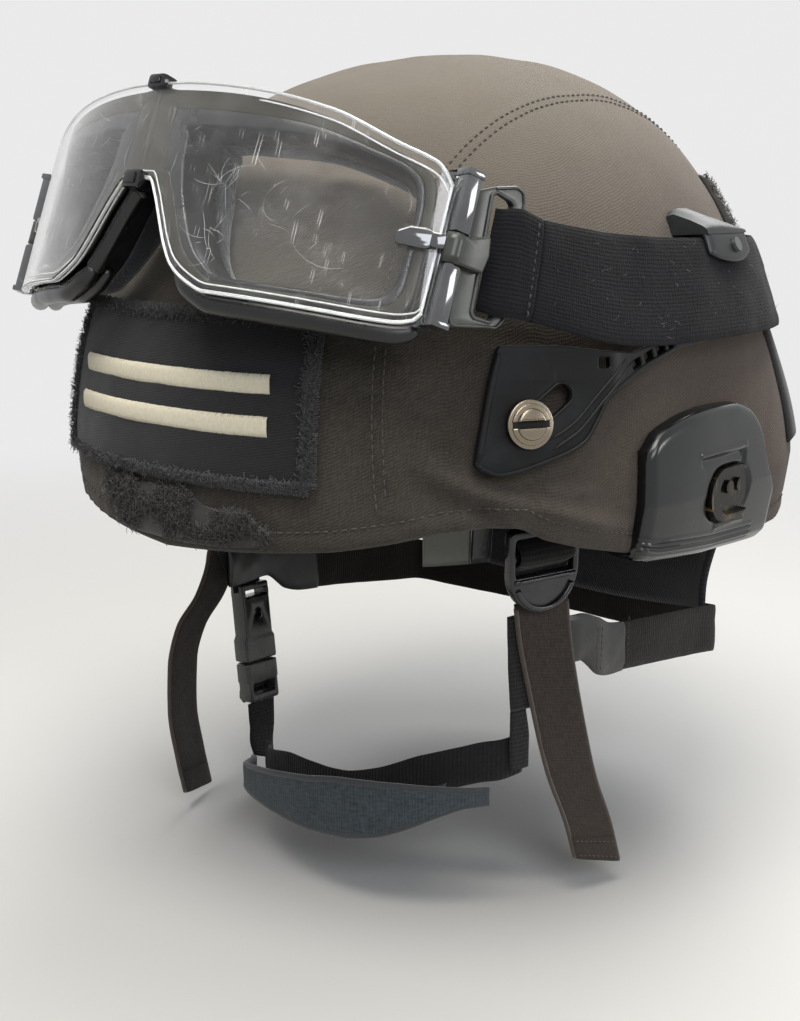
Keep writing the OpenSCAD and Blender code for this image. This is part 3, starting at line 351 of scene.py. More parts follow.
def ripple(p, seed, size):
    """Smooth random hills about 1 high: sums of sine waves of random direction and phase."""
    dice = np.random.default_rng(seed)
    total = np.zeros(p.shape[:-1])
    for k in range(3):
        for _ in range(5):
            wave = dice.normal(size=3)
            wave *= 2 * np.pi / (size / 2 ** k) / np.linalg.norm(wave)
            total += np.sin(p @ wave + dice.uniform(0, 6.28)) / 2 ** k
    return total / 4


seam_z = [-10, 13, 31, 50, 75, 110, 175]
seam_y = [82, 79, 76, 74, 71, 67, 65]
seam_rows, hem_sewn = (1.4, 4.0), 7.5


def seam_gap(p):
    """Signed distance from the nearer seam, positive towards the side panels."""
    return abs(p[..., 1]) - np.interp(p[..., 2], seam_z, seam_y)


cover_folds = [
    ([(114, 82, 44), (104, 92, 34), (92, 101, 27), (76, 110, 23), (58, 117, 17), (42, 121, 11)], 5.2, 3.6),
    ([(110, 86, 36), (98, 96, 28), (84, 106, 22), (66, 114, 16)], -1.4, 2.2),
    ([(108, 88, 27), (98, 96, 20), (84, 104, 15), (66, 113, 10)], 2.6, 2.4),
    ([(98, 98, 33), (92, 101, 30), (84, 106, 28)], 1.9, 2.2),
    ([(80, 109, 31), (70, 113, 28), (58, 118, 27)], 2.2, 2.6),
    ([(99, 99, 31), (101, 95, 20), (103, 92, 12)], 1.3, 2.6),
    ([(96, 100, 30), (88, 104, 20), (80, 107, 13)], 1.2, 2.6),
    ([(120, 74, 62), (118, 77, 44), (114, 83, 30), (110, 86, 17)], 1.3, 4.2),
    ([(102, 37, 123), (94, 54, 122), (86, 70, 119)], 1.8, 4.0),
    ([(120, 70, 30), (112, 84, 22), (99, 97, 19)], 1.0, 3.6),
    ([(94, 103, 26), (80, 111, 19), (66, 117, 14)], 1.2, 3.2),
    ([(76, 113, 24), (60, 119, 14), (48, 122, 9)], 0.9, 3.0),
    ([(100, 98, 60), (97, 101, 40), (92, 103, 24)], 0.5, 4.0),
    ([(100, 80, 92), (86, 96, 88), (70, 108, 80)], 1.0, 5.0),
    ([(122, 40, 100), (118, 58, 92), (108, 76, 84)], 1.0, 5.0),
]


def cover_form(p):
    """Height of the cloth over the plain form: seams, hem line, creases and slack."""
    s = seam_gap(p)
    a = np.degrees(np.arctan2(p[..., 1], p[..., 0]))
    above = p[..., 2] - rim(a)
    lap = 0.45 / (1 + np.exp(-s / 0.35)) * np.exp(-np.clip(s, 0, 40) / 7)
    rows = sum(-0.25 * np.exp(-((s - at) / 0.55) ** 2) for at in seam_rows)
    hem_row = 0.5 * np.exp(-((above - hem_sewn) / 0.9) ** 2)
    fold = 0.35 * np.exp(-((above - 3.5) / 2.6) ** 2)
    high = lap + rows - hem_row + fold
    pull = np.exp(-np.clip(above, 0, 80) / 16) * 0.45
    gather = pull * np.sin(a * 1.9 + 3 * np.sin(a * 0.31)) * np.sin(a * 0.37 + 1)
    slack = 0.45 * ripple(p * [1, 1, 0.6], 4, 46)
    for path, height, width in cover_folds:
        high = high + crease(p, path, height, width)
        mirror_path = [(x, -y, z) for x, y, z in path]
        high = high + 0.8 * crease(p + ripple(p, 9, 60)[..., None] * 3, mirror_path, height, width)
    return high + gather + slack


cover_cols, cover_rows = 336, 150
bearing = 180 + np.arange(cover_cols) * 360 / cover_cols
grow = np.linspace(0, 1, cover_rows)[:, None] ** 1.06
low_z = rim(bearing)[None, :]
z = low_z + 1.5 + (crown_z - low_z - 1.5) * np.sin(grow * np.pi / 2)
body_p = dome(bearing[None, :] + 0 * z, z, 0.0)
out = unit(np.cross((np.roll(body_p, -1, 1) - np.roll(body_p, 1, 1)) / 2, np.gradient(body_p, axis=0)))
out[-1] = (0, 0, 1)
if (out[3, 0] * body_p[3, 0]).sum() < 0:
    out[:-1] *= -1
body_p = body_p + out * cover_form(body_p)[..., None]
body_p[-1] = body_p[-1].mean(0)
turn_in = np.array([(9.0, -14.0), (6.0, -14.0), (3.0, -14.0), (1.0, -13.6), (0.0, -12.4), (-0.2, -9.0),
                    (-0.2, -5.0), (-0.1, -2.0), (0.3, -0.7)])
hem_p = np.stack([dome(bearing, rim(bearing) + dz, o) for dz, o in turn_in])
cover_p = np.concatenate([hem_p, body_p])
arc = np.radians(bearing) * 135
arc = np.append(arc, arc[-1] + arc[1] - arc[0])
run = np.concatenate([np.zeros((1, cover_cols)),
                      np.cumsum(np.linalg.norm(np.diff(cover_p, axis=0), axis=-1), 0)])
cover_uv = np.stack(np.broadcast_arrays(arc[None, :], np.append(run, run[:, :1], 1)), -1) * MM
cover_mesh = surface("cloth_cover", cover_p, cover_uv, wrap=True)


def woven(name, warp, weft, faded, pitch, turn=0.0, sheen=0.25, bump=0.00012, slub=0.5, fade=0.55,
          blotch_and_top_light=(), slant=62.0):
    """Twill: diagonal lines one pitch apart (in metres) over slubby weft yarns, both drawn
    about twice as coarse as the real yarn so that they show. faded is the rubbed colour."""
    material, tree, bsdf = shader(name, warp, 0.93, Sheen_Weight=sheen, Sheen_Roughness=0.5)
    bsdf.inputs["Specular IOR Level"].default_value = 0.25
    coord = add(tree, "TexCoord")
    uv = add(tree, "Mapping", {"Vector": coord.outputs["UV"], "Rotation": (0, 0, turn)}).outputs[0]
    diagonal = add(tree, "Mapping", {"Vector": uv, "Rotation": (0, 0, math.radians(slant))}).outputs[0]
    twill = add(tree, "TexWave", {"Vector": diagonal, "Scale": 0.314 / pitch, "Distortion": 1.4,
                                  "Detail": 2.0, "Detail Scale": 2.0})
    yarn_at = add(tree, "Mapping", {"Vector": uv, "Scale": (180.0, 1400.0, 1.0)}).outputs[0]
    yarn = add(tree, "TexNoise", {"Vector": yarn_at, "Scale": 1.0, "Detail": 3.0, "Roughness": 0.7})
    cross_at = add(tree, "Mapping", {"Vector": uv, "Scale": (1500.0, 260.0, 1.0)}).outputs[0]
    cross = add(tree, "TexNoise", {"Vector": cross_at, "Scale": 1.0, "Detail": 2.0, "Roughness": 0.6})
    slubs = add(tree, "Math", {0: yarn.outputs["Fac"], 1: cross.outputs["Fac"]}, operation="MULTIPLY")
    lift = add(tree, "MapRange", {"Value": slubs.outputs[0], 1: 0.14, 2: 0.40, 3: 0.0, 4: 1.0})
    weave = add(tree, "MixRGB", {"Fac": slub, "Color1": twill.outputs["Color"], "Color2": lift.outputs[0]})
    base = add(tree, "MixRGB", {"Fac": weave.outputs[0], "Color1": lin(warp), "Color2": lin(weft)})
    cloud = add(tree, "TexNoise", {"Vector": coord.outputs["Object"], "Scale": 9.0, "Detail": 5.0,
                                   "Roughness": 0.62})
    thin = add(tree, "MapRange", {"Value": cloud.outputs["Fac"], 1: 0.36, 2: 0.68, 3: 0.0, 4: fade})
    colour = add(tree, "MixRGB", {"Fac": thin.outputs[0], "Color1": base.outputs[0], "Color2": lin(faded)})
    speck = add(tree, "MixRGB", {"Fac": 0.55, "Color1": colour.outputs[0], "Color2": base.outputs[0]})
    last = speck.outputs[0]
    place = add(tree, "SeparateXYZ", {"Vector": coord.outputs["Object"]})
    # Each entry mixes in a tint along one axis of the object, by a share that grows from start to stop
    for axis, start, stop, most, tint in blotch_and_top_light:
        part = add(tree, "MapRange", {"Value": place.outputs[axis], 1: start, 2: stop, 3: 0.0, 4: most})
        last = add(tree, "MixRGB", {"Fac": part.outputs[0], "Color1": last, "Color2": lin(tint)}).outputs[0]
    tree.links.new(last, bsdf.inputs["Base Color"])
    raised = add(tree, "Bump", {"Height": weave.outputs[0], "Distance": bump, "Strength": 0.9})
    tree.links.new(raised.outputs[0], bsdf.inputs["Normal"])
    return material


# The first tint reddens the rear, a real tint of the cloth. The second lightens the cover towards the
# crown: partly real fading, partly painted light from above
cover_twill = woven("cotton_twill_faded", "#1d1c1a", "#4b463f", "#575048", 0.0011, turn=0.06, sheen=0.12,
                    bump=0.00022, slub=0.6, fade=0.9,
                    blotch_and_top_light=(("X", 0.1, -0.12, 0.45, "#67544a"), ("Z", 0.07, 0.165, 0.55, "#8b8377")))
cover = piece("cloth_cover", cover_mesh, cover_twill, "helmet", "fabric_cover")
cloth = cover.modifiers.new("cloth", "SOLIDIFY")
cloth.thickness = 0.8 * MM
cloth.offset = -1


def spaced(where, at, path):
    """Points of a path, or what it carries, read off at the lengths where."""
    return np.stack([np.interp(where, at, path[:, k]) for k in range(3)], -1)


def strands(name, p):
    """Mesh of many closed threads in mm: p holds the rings of each, as thread, ring, point."""
    count, steps, cols = p.shape[:3]
    i, j = (g.ravel() for g in np.meshgrid(np.arange(steps - 1), np.arange(cols), indexing="ij"))
    beside = (j + 1) % cols
    one = np.stack([i * cols + j, i * cols + beside, (i + 1) * cols + beside, (i + 1) * cols + j], -1)
    first = (np.arange(count) * steps * cols)[:, None]
    faces = (one[None] + first[..., None]).reshape(-1, 4).tolist()
    faces += (first + np.arange(cols)[::-1]).tolist()
    faces += (first + (steps - 1) * cols + np.arange(cols)).tolist()
    mesh = bpy.data.meshes.new(name)
    mesh.from_pydata((p.reshape(-1, 3) * MM).tolist(), [], faces)
    return mesh


def stitches(name, path, out, pitch, length, thick, lift=0.25):
    """Row of thread stitches along a path in mm: each is a six-sided bead, thin at both ends,
    lying along the path and standing off it by lift."""
    at = run_of(path)
    where = np.arange(pitch / 2, at[-1], pitch)
    mid, up = spaced(where, at, path), unit(spaced(where, at, out))
    ahead = unit(spaced(where + 0.5, at, path) - mid)
    side = np.cross(up, ahead)
    ring = np.radians([0, 60, 120, 180, 240, 300])
    runs, fat = np.array([-0.5, -0.3, 0, 0.3, 0.5]), np.array([0.15, 0.85, 1, 0.85, 0.15])
    dips = np.array([-0.5, 0.2, 0.5, 0.2, -0.5]) * thick
    high = lift + dips[:, None] + fat[:, None] * np.cos(ring) * thick / 2
    wide = fat[:, None] * np.sin(ring) * thick / 2
    p = (mid[:, None, None] + ahead[:, None, None] * (runs * length)[None, :, None, None]
         + up[:, None, None] * high[None, ..., None] + side[:, None, None] * wide[None, ..., None])
    return tidy(strands(name, p))


def joined(name, meshes):
    """One mesh from several, in order; each keeps its own UVs."""
    b = bmesh.new()
    for m in meshes:
        b.from_mesh(m)
    whole = bpy.data.meshes.new(name)
    b.to_mesh(whole)
    b.free()
    return whole


def thread(name, colour, rub):
    """Spun polyester thread: soft sheen over a fine twist too small to draw."""
    material, tree, bsdf = shader(name, colour, 0.8, Sheen_Weight=0.3)
    place = add(tree, "TexCoord").outputs["Object"]
    ply = add(tree, "TexNoise", {"Vector": place, "Scale": 900.0, "Detail": 2.0})
    tint = add(tree, "MixRGB", {"Fac": ply.outputs["Fac"], "Color1": lin(colour), "Color2": lin(rub)})
    tree.links.new(tint.outputs[0], bsdf.inputs["Base Color"])
    return material


cover_thread = thread("thread_brown_black", "#241f1d", "#57504a")


def on_cover(a, z):
    """Points and outward directions on the finished cloth, at bearings a and heights z."""
    p = dome(a, z, 0.0)
    n = dome(a, z, 1.5) - dome(a, z, -1.5)
    n[..., 2] = 0.9 * np.clip((np.asarray(z) - wide_z) / 90, 0, 3) * np.linalg.norm(n, axis=-1)
    n = unit(n)
    return p + n * cover_form(p)[..., None], n


# Each seam row is found by halving: the height at which its line in plan meets the form
stitch_pitch, stitch_long, stitch_thick = 3.1, 2.2, 0.55
seam_n = 400
round_x = np.cos(np.linspace(0, np.pi, seam_n))
seam_x = round_x * np.where(round_x > 0, 128, 132) - 6
rows = []
for side in (1, -1):
    for gap in seam_rows:
        y = np.full(seam_n, 68.0)
        for _ in range(4):
            lo, hi = np.full(seam_n, 14.0), np.full(seam_n, 172.0)
            for _ in range(22):
                z = (lo + hi) / 2
                under = clear_of(np.stack([seam_x, y * side, z], -1)) < 0
                lo, hi = np.where(under, z, lo), np.where(under, hi, z)
            z = (lo + hi) / 2
            y = np.interp(z, seam_z, seam_y) + gap
        line = np.stack([seam_x, y * side, z], -1)[z > 15.5]
        n = line / [front_len ** 2, half_w ** 2, 1]
        n[:, 2] = np.clip(line[:, 2] - wide_z, 0, 200) / 153 ** 2
        n = unit(n)
        line = line + n * cover_form(line)[:, None]
        rows.append(stitches("seam_row", line, n, stitch_pitch, stitch_long, stitch_thick))
hem_a = np.linspace(0, 360, 721)
line, n = on_cover(hem_a, rim(hem_a) + hem_sewn)
rows.append(stitches("hem_row", line, n, stitch_pitch, stitch_long, stitch_thick))
piece("cover_stitching", joined("cover_stitching", rows), cover_thread, "helmet",
      slot=slot_of["fabric_cover"])

# Front patch
# A square of black twill stuck to the loop panel on the brow. Its edge is overlocked with
# thick yarn that has frayed, and two plain cream bars are worked across it in satin stitch.
patch_a, patch_lo, patch_hi = 25.0, 30.5, 84.0


def slab(name, top, low, uv, sharp=None):
    """Closed sheet between two grids of points in mm: both faces and the edge band between."""
    rows, cols = top.shape[:2]
    ids = np.arange(rows * cols).reshape(rows, cols)
    edge = np.concatenate([ids[0, :-1], ids[:-1, -1], ids[-1, :0:-1], ids[:0:-1, 0]])
    quads = np.stack([ids[:-1, :-1], ids[:-1, 1:], ids[1:, 1:], ids[1:, :-1]], -1).reshape(-1, 4)
    far = rows * cols
    ahead = np.roll(edge, -1)
    band = np.stack([ahead, edge, edge + far, ahead + far], -1)
    faces = np.concatenate([quads, quads[:, ::-1] + far, band])
    mesh = bpy.data.meshes.new(name)
    mesh.from_pydata((np.concatenate([top.reshape(-1, 3), low.reshape(-1, 3)]) * MM).tolist(), [],
                     faces.tolist())
    flat = np.concatenate([uv.reshape(-1, 2)] * 2)
    mesh.uv_layers.new(name="UVMap").data.foreach_set("uv", flat[faces.ravel()].ravel())
    return tidy(mesh, sharp)


def grid(u0, u1, nu, v0, v1, nv):
    """Two grids of parameters, u along the columns and v along the rows."""
    return np.meshgrid(np.linspace(u0, u1, nu), np.linspace(v0, v1, nv))


def pillow(u, v, edge):
    """0 on the border of the unit square and 1 inside, rounded over the share edge at each side."""
    near = np.minimum(np.minimum(u, 1 - u) / edge[0], np.minimum(v, 1 - v) / edge[1])
    return np.sqrt(1 - (1 - np.clip(near, 0, 1)) ** 2)


def fuzz(name, roots, out, length, thick, curl, seed):
    """Frayed fibres: three-sided tapering threads that start at the roots, lean at random and
    curl over in an arc. Lengths vary by half either way."""
    dice = np.random.default_rng(seed)
    n = len(roots)
    out = unit(out)
    side = unit(np.cross(out, unit(dice.normal(size=(n, 3)))))
    flat = np.cross(side, out)
    long = length * dice.uniform(0.5, 1.5, (n, 1))
    turn = dice.uniform(0.3, 1.0, (n, 1)) * curl
    s = np.linspace(0, 1, 5)[None, :]
    angle = (turn * s)[..., None]
    rise = long[..., None] * np.sin(angle) / turn[..., None]
    over = long[..., None] * (1 - np.cos(angle)) / turn[..., None]
    mid = roots[:, None] + out[:, None] * rise + flat[:, None] * over
    up = flat[:, None] * np.cos(angle) - out[:, None] * np.sin(angle)
    tri = np.radians([0, 120, 240])[:, None]
    fat = (thick / 2 * (1 - 0.6 * s))[..., None, None]
    ring = np.cos(tri) * side[:, None, None] + np.sin(tri) * up[:, :, None]
    mesh = strands(name, mid[:, :, None] + fat * ring)
    mesh.polygons.foreach_set("use_smooth", np.ones(len(mesh.polygons), bool))
    mesh.update()
    return mesh


patch_twill = woven("patch_twill_black", "#141416", "#2b2b2d", "#26262a", 0.0009, turn=0.3, sheen=0.18,
                    slub=0.35)
patch_yarn = thread("overlock_yarn_black", "#131314", "#333336")
u, v = grid(0, 1, 120, 0, 1, 80)
a, z = patch_a * (2 * u - 1), patch_lo + (patch_hi - patch_lo) * v
a = a + 0.35 * np.sin(v * 9) * (abs(2 * u - 1) > 0.9)
z = z + 0.5 * np.sin(u * 14) * (abs(2 * v - 1) > 0.9)
lift = 1.0 + 1.3 * pillow(u, v, (0.012, 0.02)) + 0.22 * ripple(dome(a, z, 0), 12, 34)
top, low = dome(a, z, lift), dome(a, z, 0.2)
mesh = slab("front_patch", top, low, np.stack([u * 0.125, v * 0.054], -1))
piece("front_patch", mesh, patch_twill, "helmet", "front_patch")
snare, fray_count = np.random.default_rng(31), 5200
walk = snare.uniform(0, 4, fray_count)
across = snare.normal(0, 1, fray_count) * 0.013 + 0.024
leg = walk.astype(int)
s = walk - leg
ru = np.select([leg == 0, leg == 1, leg == 2], [s, s, across * 0.62], 1 - across * 0.62)
rv = np.select([leg == 0, leg == 1, leg == 2], [across, 1 - across, s], s)
ra, rz = patch_a * (2 * ru - 1), patch_lo + (patch_hi - patch_lo) * rv
roots, n = dome(ra, rz, 2.1), dome(ra, rz, 3.0) - dome(ra, rz, 1.0)
piece("patch_fray", fuzz("patch_fray", roots, n, 2.5, 0.42, 2.6, 5), patch_yarn, "helmet",
      slot="patch twill")
border = []
for b0, z0, b1, z1, count in ((-1, 0, 1, 0, 2), (1, 0, 1, 1, 1), (1, 1, -1, 1, 2), (-1, 1, -1, 0, 1)):
    s = np.linspace(0, 1, 160)
    ba = (b0 + (b1 - b0) * s) * patch_a * 0.986
    bz = patch_lo + 0.7 + (patch_hi - patch_lo - 1.4) * (z0 + (z1 - z0) * s)
    p, n = dome(ba, bz, 1.75), unit(dome(ba, bz, 3) - dome(ba, bz, 1))
    border.append((p, n, np.cross(n, unit(np.gradient(p, axis=0)))))


def satin(name, p, n, side, pitch, width, thick, jitter, seed):
    """Close threads laid across a path, each a flat arch from one side to the other."""
    dice = np.random.default_rng(seed)
    at = run_of(p)
    where = np.arange(pitch / 2, at[-1], pitch)
    mid, up, across = (spaced(where, at, q) for q in (p, n, side))
    along = np.cross(across, up)
    count = len(where)
    s = np.linspace(-1, 1, 9)
    half = width / 2 * (1 + dice.normal(0, jitter, (count, 1)))
    arch = np.sqrt(np.clip(1 - abs(s) ** 2.6, 0, 1)) * (0.45 + thick)
    line = (mid[:, None] + across[:, None] * (half * s)[..., None] + up[:, None] * arch[None, :, None]
            + along[:, None] * (dice.normal(0, jitter * 0.6, (count, 1)) * s)[..., None])
    ring = np.radians(np.arange(6) * 60)
    fat = (thick / 2 * (1 - 0.35 * abs(s) ** 3))[:, None]
    q = (line[:, :, None] + up[:, None, None] * (fat * np.cos(ring))[None, ..., None]
         + along[:, None, None] * (fat * np.sin(ring))[None, ..., None])
    return tidy(strands(name, q))


rows = [satin("overlock", p, n, side, 0.75, 4.6, 0.62, 0.10, k) for k, (p, n, side) in enumerate(border)]
piece("patch_overlock", joined("patch_overlock", rows), patch_yarn, "helmet", slot="patch twill")
cream = thread("satin_stitch_cream", "#cfc7ae", "#ece6d2")
rows = []
bar_half_a, bar_wide, bar_z = 19.0, 7.0, (49.5, 62.5)
for mid_z in bar_z:
    ba = np.linspace(-bar_half_a, bar_half_a, 160)
    p, n = dome(ba, mid_z, 2.15), unit(dome(ba, mid_z, 3) - dome(ba, mid_z, 1))
    side = np.cross(n, unit(np.gradient(p, axis=0)))
    rows.append(satin("bar", p, n, side, 0.42, bar_wide, 0.44, 0.02, int(mid_z)))
piece("patch_bars", joined("patch_bars", rows), cream, "helmet", slot="patch twill")

# Loop panels
# The panel under the patch has worn away to a tuft of loops on the lower brow. At the back a
# whole loop panel and a plain black patch are stuck on one above the other.
loop_pile = thread("loop_pile_black", "#161514", "#34302c")
rag_a0, rag_a1, rag_lo = -11, 18, 7.5
rag_a = [rag_a0, -7, 0, 6, 8.8, 16.5, rag_a1]
rag_hi = [24, 25.5, 26, 26, 21.8, 19.6, 14.6]
u, v = grid(rag_a0, rag_a1, 60, 0, 1, 24)
z = rag_lo + (np.interp(u, rag_a, rag_hi) - rag_lo) * v
z = np.maximum(z, rim(u) + 2.5)
edge = pillow((u - rag_a0) / (rag_a1 - rag_a0), v, (0.06, 0.12))
mesh = slab("front_loop_panel", dome(u, z, 0.9 + 0.7 * edge), dome(u, z, 0.1),
            np.stack([u * 0.0025, z * MM], -1))
piece("front_loop_panel", mesh, loop_pile, "helmet", "front_loop_panel")
ra = snare.uniform(rag_a0 - 1, rag_a1 + 1, 5200)
rz = rim(ra) + 3 + (np.interp(ra, rag_a, rag_hi) + 1.5 - rim(ra) - 3) * snare.uniform(0, 1, 5200) ** 0.7
thin_out = ripple(dome(ra, rz, 0), 77, 14) > -0.32
ra, rz = ra[thin_out], rz[thin_out]
n = dome(ra, rz, 3) - dome(ra, rz, 1)
piece("front_loop_tuft", fuzz("front_loop_tuft", dome(ra, rz, 1.0), n, 3.2, 0.38, 3.4, 6), loop_pile,
      "helmet", slot="loop pile")
rear_a0, rear_a1, rear_panel_lo, rear_panel_hi, rear_patch_lo, rear_patch_hi = 120, 240, 80, 128, 26, 72
u, v = grid(rear_a0, rear_a1, 130, rear_panel_lo, rear_panel_hi, 50)
lumps = 0.35 * ripple(dome(u, v, 0), 8, 9)
edge = pillow((u - rear_a0) / (rear_a1 - rear_a0), (v - rear_panel_lo) / (rear_panel_hi - rear_panel_lo),
              (0.02, 0.05))
mesh = slab("rear_loop_panel", dome(u, v, 1.0 + 1.5 * edge + lumps), dome(u, v, 0.2),
            np.stack([u * 0.0022, v * MM], -1))
piece("rear_loop_panel", mesh, loop_pile, "helmet", "rear_loop_panel")
ra = snare.uniform(rear_a0 - 0.5, rear_a1 + 0.5, 9000)
rz = snare.uniform(rear_panel_lo - 0.5, rear_panel_hi + 0.5, 9000)
n = dome(ra, rz, 3) - dome(ra, rz, 1)
piece("rear_loop_pile", fuzz("rear_loop_pile", dome(ra, rz, 2.1), n, 1.9, 0.36, 3.2, 7), loop_pile,
      "helmet", slot="loop pile")
u, v = grid(rear_a0, rear_a1, 110, rear_patch_lo, rear_patch_hi, 30)
edge = pillow((u - rear_a0) / (rear_a1 - rear_a0), (v - rear_patch_lo) / (rear_patch_hi - rear_patch_lo),
              (0.02, 0.05))
mesh = slab("rear_patch", dome(u, v, 1.0 + 1.3 * edge), dome(u, v, 0.2), np.stack([u * 0.0022, v * MM], -1))
piece("rear_patch", mesh, patch_twill, "helmet", "rear_patch")

# Goggle lens
# Two clear polycarbonate sheets moulded as one curved lens with a notch for the nose. It is
# scratched and hazy towards its ends. Its polished edge gathers the light, and that light is
# painted on: half-white tubes run round the edge and just inside it.
lens_r, lens_w, lens_t = 160.0, 100.0, 3.0
lens_h, nose_h, lens_lean = 65.5, 32.0, 21.0
lens_o = np.array([135.95, 0.0, 155.2])
tilt = math.radians(lens_lean)
eye_x = np.array([math.cos(tilt), 0, math.sin(tilt)])
eye_z = np.array([-math.sin(tilt), 0, math.cos(tilt)])
top_u = [0, 0.08, 0.38, 0.645, 0.85, 0.95, 0.972, 1]
top_v = [0, 0, -1.3, -4.8, -11.5, -14.6, -16.5, -21]
low_u = [0, 0.06, 0.11, 0.157, 0.2, 0.248, 0.326, 0.39, 0.556, 0.824, 0.93, 0.98, 1]
low_v = [-nose_h, -nose_h, -nose_h - 5.8, -nose_h - 13.7, -nose_h - 21, -lens_h + 6.4, -lens_h + 1.8,
         -lens_h - 0.2, -lens_h, -lens_h + 0.6, -lens_h + 1.4, -lens_h + 3.2, -lens_h + 6]


def lens_p(y, v, d):
    """Point y mm across the lens, v up it and d behind its front, which is a cylinder's side."""
    y, v, d = np.broadcast_arrays(np.asarray(y, float), np.asarray(v, float), np.asarray(d, float))
    bend = np.arcsin(y / lens_r)
    deep = lens_r * (1 - np.cos(bend)) + d * np.cos(bend)
    across = y - d * np.sin(bend)
    return lens_o - eye_x * deep[..., None] + np.array([0, 1, 0]) * across[..., None] + eye_z * v[..., None]


def smooth(x, xs, ys):
    """Hermite curve through points, its slopes limited so that it never swings past them."""
    xs, ys, x = np.asarray(xs, float), np.asarray(ys, float), np.asarray(x, float)
    step = np.diff(xs)
    rise = np.diff(ys) / step
    both, total = rise[1:] * rise[:-1], rise[1:] + rise[:-1]
    mean = np.where(both > 0, 2 * both / np.where(total == 0, 1, total), 0)
    slope = np.concatenate([[rise[0]], mean, [rise[-1]]])
    k = np.clip(np.searchsorted(xs, x) - 1, 0, len(xs) - 2)
    t = np.clip((x - xs[k]) / step[k], 0, 1)
    return ((2 * t ** 3 - 3 * t ** 2 + 1) * ys[k] + (t ** 3 - 2 * t ** 2 + t) * step[k] * slope[k]
            + (3 * t ** 2 - 2 * t ** 3) * ys[k + 1] + (t ** 3 - t ** 2) * step[k] * slope[k + 1])


def lens_top(y):
    """Upper edge of the lens at y mm from its middle."""
    return smooth(np.minimum(abs(y) / lens_w, 1), top_u, top_v)


def lens_low(y):
    """Lower edge of the lens at y mm from its middle."""
    return smooth(np.minimum(abs(y) / lens_w, 1), low_u, low_v)


y_line = lens_w * np.sin(np.linspace(-1, 1, 241) * np.pi / 2 * 0.985) / np.sin(np.pi / 2 * 0.985)
share = np.linspace(0, 1, 22)
high, foot = lens_top(y_line), lens_low(y_line)
v_front = foot + 0.6 + (high - foot - 1.2) * share[:, None]
top_v2, foot_v2 = [high - 0.15] * 2, [foot + 0.15] * 2
ring_v = np.concatenate([v_front, top_v2, v_front[::-1], foot_v2])
ring_d = np.concatenate([np.zeros(22), [0.6, lens_t - 0.6], np.full(22, lens_t), [lens_t - 0.6, 0.6]])
ring_d = ring_d[:, None]
lens_grid = lens_p(y_line[None, :], ring_v, ring_d).transpose(1, 0, 2)
lens_uv = np.stack(np.broadcast_arrays(y_line[:, None], np.append(ring_v, ring_v[:1], 0).T), -1) * MM
clear, t, bsdf = shader("clear_polycarbonate", "#ffffff", 0.03, IOR=1.45, Transmission_Weight=1.0)
coord = add(t, "TexCoord").outputs["UV"]
haze_at = add(t, "Mapping", {"Vector": coord, "Scale": (22.0, 30.0, 1.0)}).outputs[0]
haze = add(t, "TexNoise", {"Vector": haze_at, "Scale": 1.0, "Detail": 7.0, "Roughness": 0.72})
smear = add(t, "MapRange", {"Value": haze.outputs["Fac"], 1: 0.5, 2: 0.85, 3: 0.0, 4: 0.05})
scuffs = smear.outputs[0]
for angle, wide, long, cut in ((0.35, 1700.0, 60.0, 0.735), (1.2, 1500.0, 70.0, 0.74),
                               (-0.6, 1900.0, 90.0, 0.745), (2.3, 1300.0, 50.0, 0.745)):
    at = add(t, "Mapping",
             {"Vector": coord, "Rotation": (0, 0, angle), "Scale": (wide, long, 1.0)}).outputs[0]
    hair = add(t, "TexNoise", {"Vector": at, "Scale": 1.0, "Detail": 1.0})
    line = add(t, "MapRange", {"Value": hair.outputs["Fac"], 1: cut, 2: cut + 0.03, 3: 0.0, 4: 0.28})
    scuffs = add(t, "Math", {0: scuffs, 1: line.outputs[0]}, operation="MAXIMUM").outputs[0]
see = add(t, "Math", {0: 1.0, 1: scuffs}, operation="SUBTRACT")
t.links.new(see.outputs[0], bsdf.inputs["Transmission Weight"])
rays = add(t, "LightPath")
passing = add(t, "BsdfTransparent", {"Color": lin("#e9eceb")})
both = add(t, "MixShader", {0: rays.outputs["Is Shadow Ray"], 1: bsdf.outputs[0], 2: passing.outputs[0]})
t.links.new(both.outputs[0], t.nodes["Material Output"].inputs["Surface"])
lens_mesh = surface("goggle_lens", lens_grid, lens_uv, wrap=True, ends=True, sharp=40)
piece("goggle_lens", lens_mesh, clear, "goggles", "goggle_lens")


def laid(across, along):
    """UV map of a grid in metres, from the lengths in mm across its columns and along its rows."""
    return np.stack(np.broadcast_arrays(across[None, :], along[:, None]), -1) * MM


def tube(name, path, radius, cols=10, closed=False, up=(0, 0, 1)):
    """Tube along a path in mm: a circle across it, whose radius may vary along the path."""
    path = np.asarray(path, float)
    ahead = unit(np.roll(path, -1, 0) - np.roll(path, 1, 0) if closed else np.gradient(path, axis=0))
    side = unit(np.cross(np.broadcast_to(np.asarray(up, float), path.shape), ahead))
    over = np.cross(ahead, side)
    ring = (np.arange(cols) * 2 * np.pi / cols)[:, None]
    r = np.broadcast_to(radius, len(path))[:, None, None]
    p = path[:, None] + r * (side[:, None] * np.cos(ring) + over[:, None] * np.sin(ring))
    if closed:
        p = np.concatenate([p, p[:1]])
    round_by = np.arange(cols + 1) / cols * 6.28 * float(np.max(radius))
    return surface(name, p, laid(round_by, run_of(p[:, 0])), wrap=True, ends=not closed)
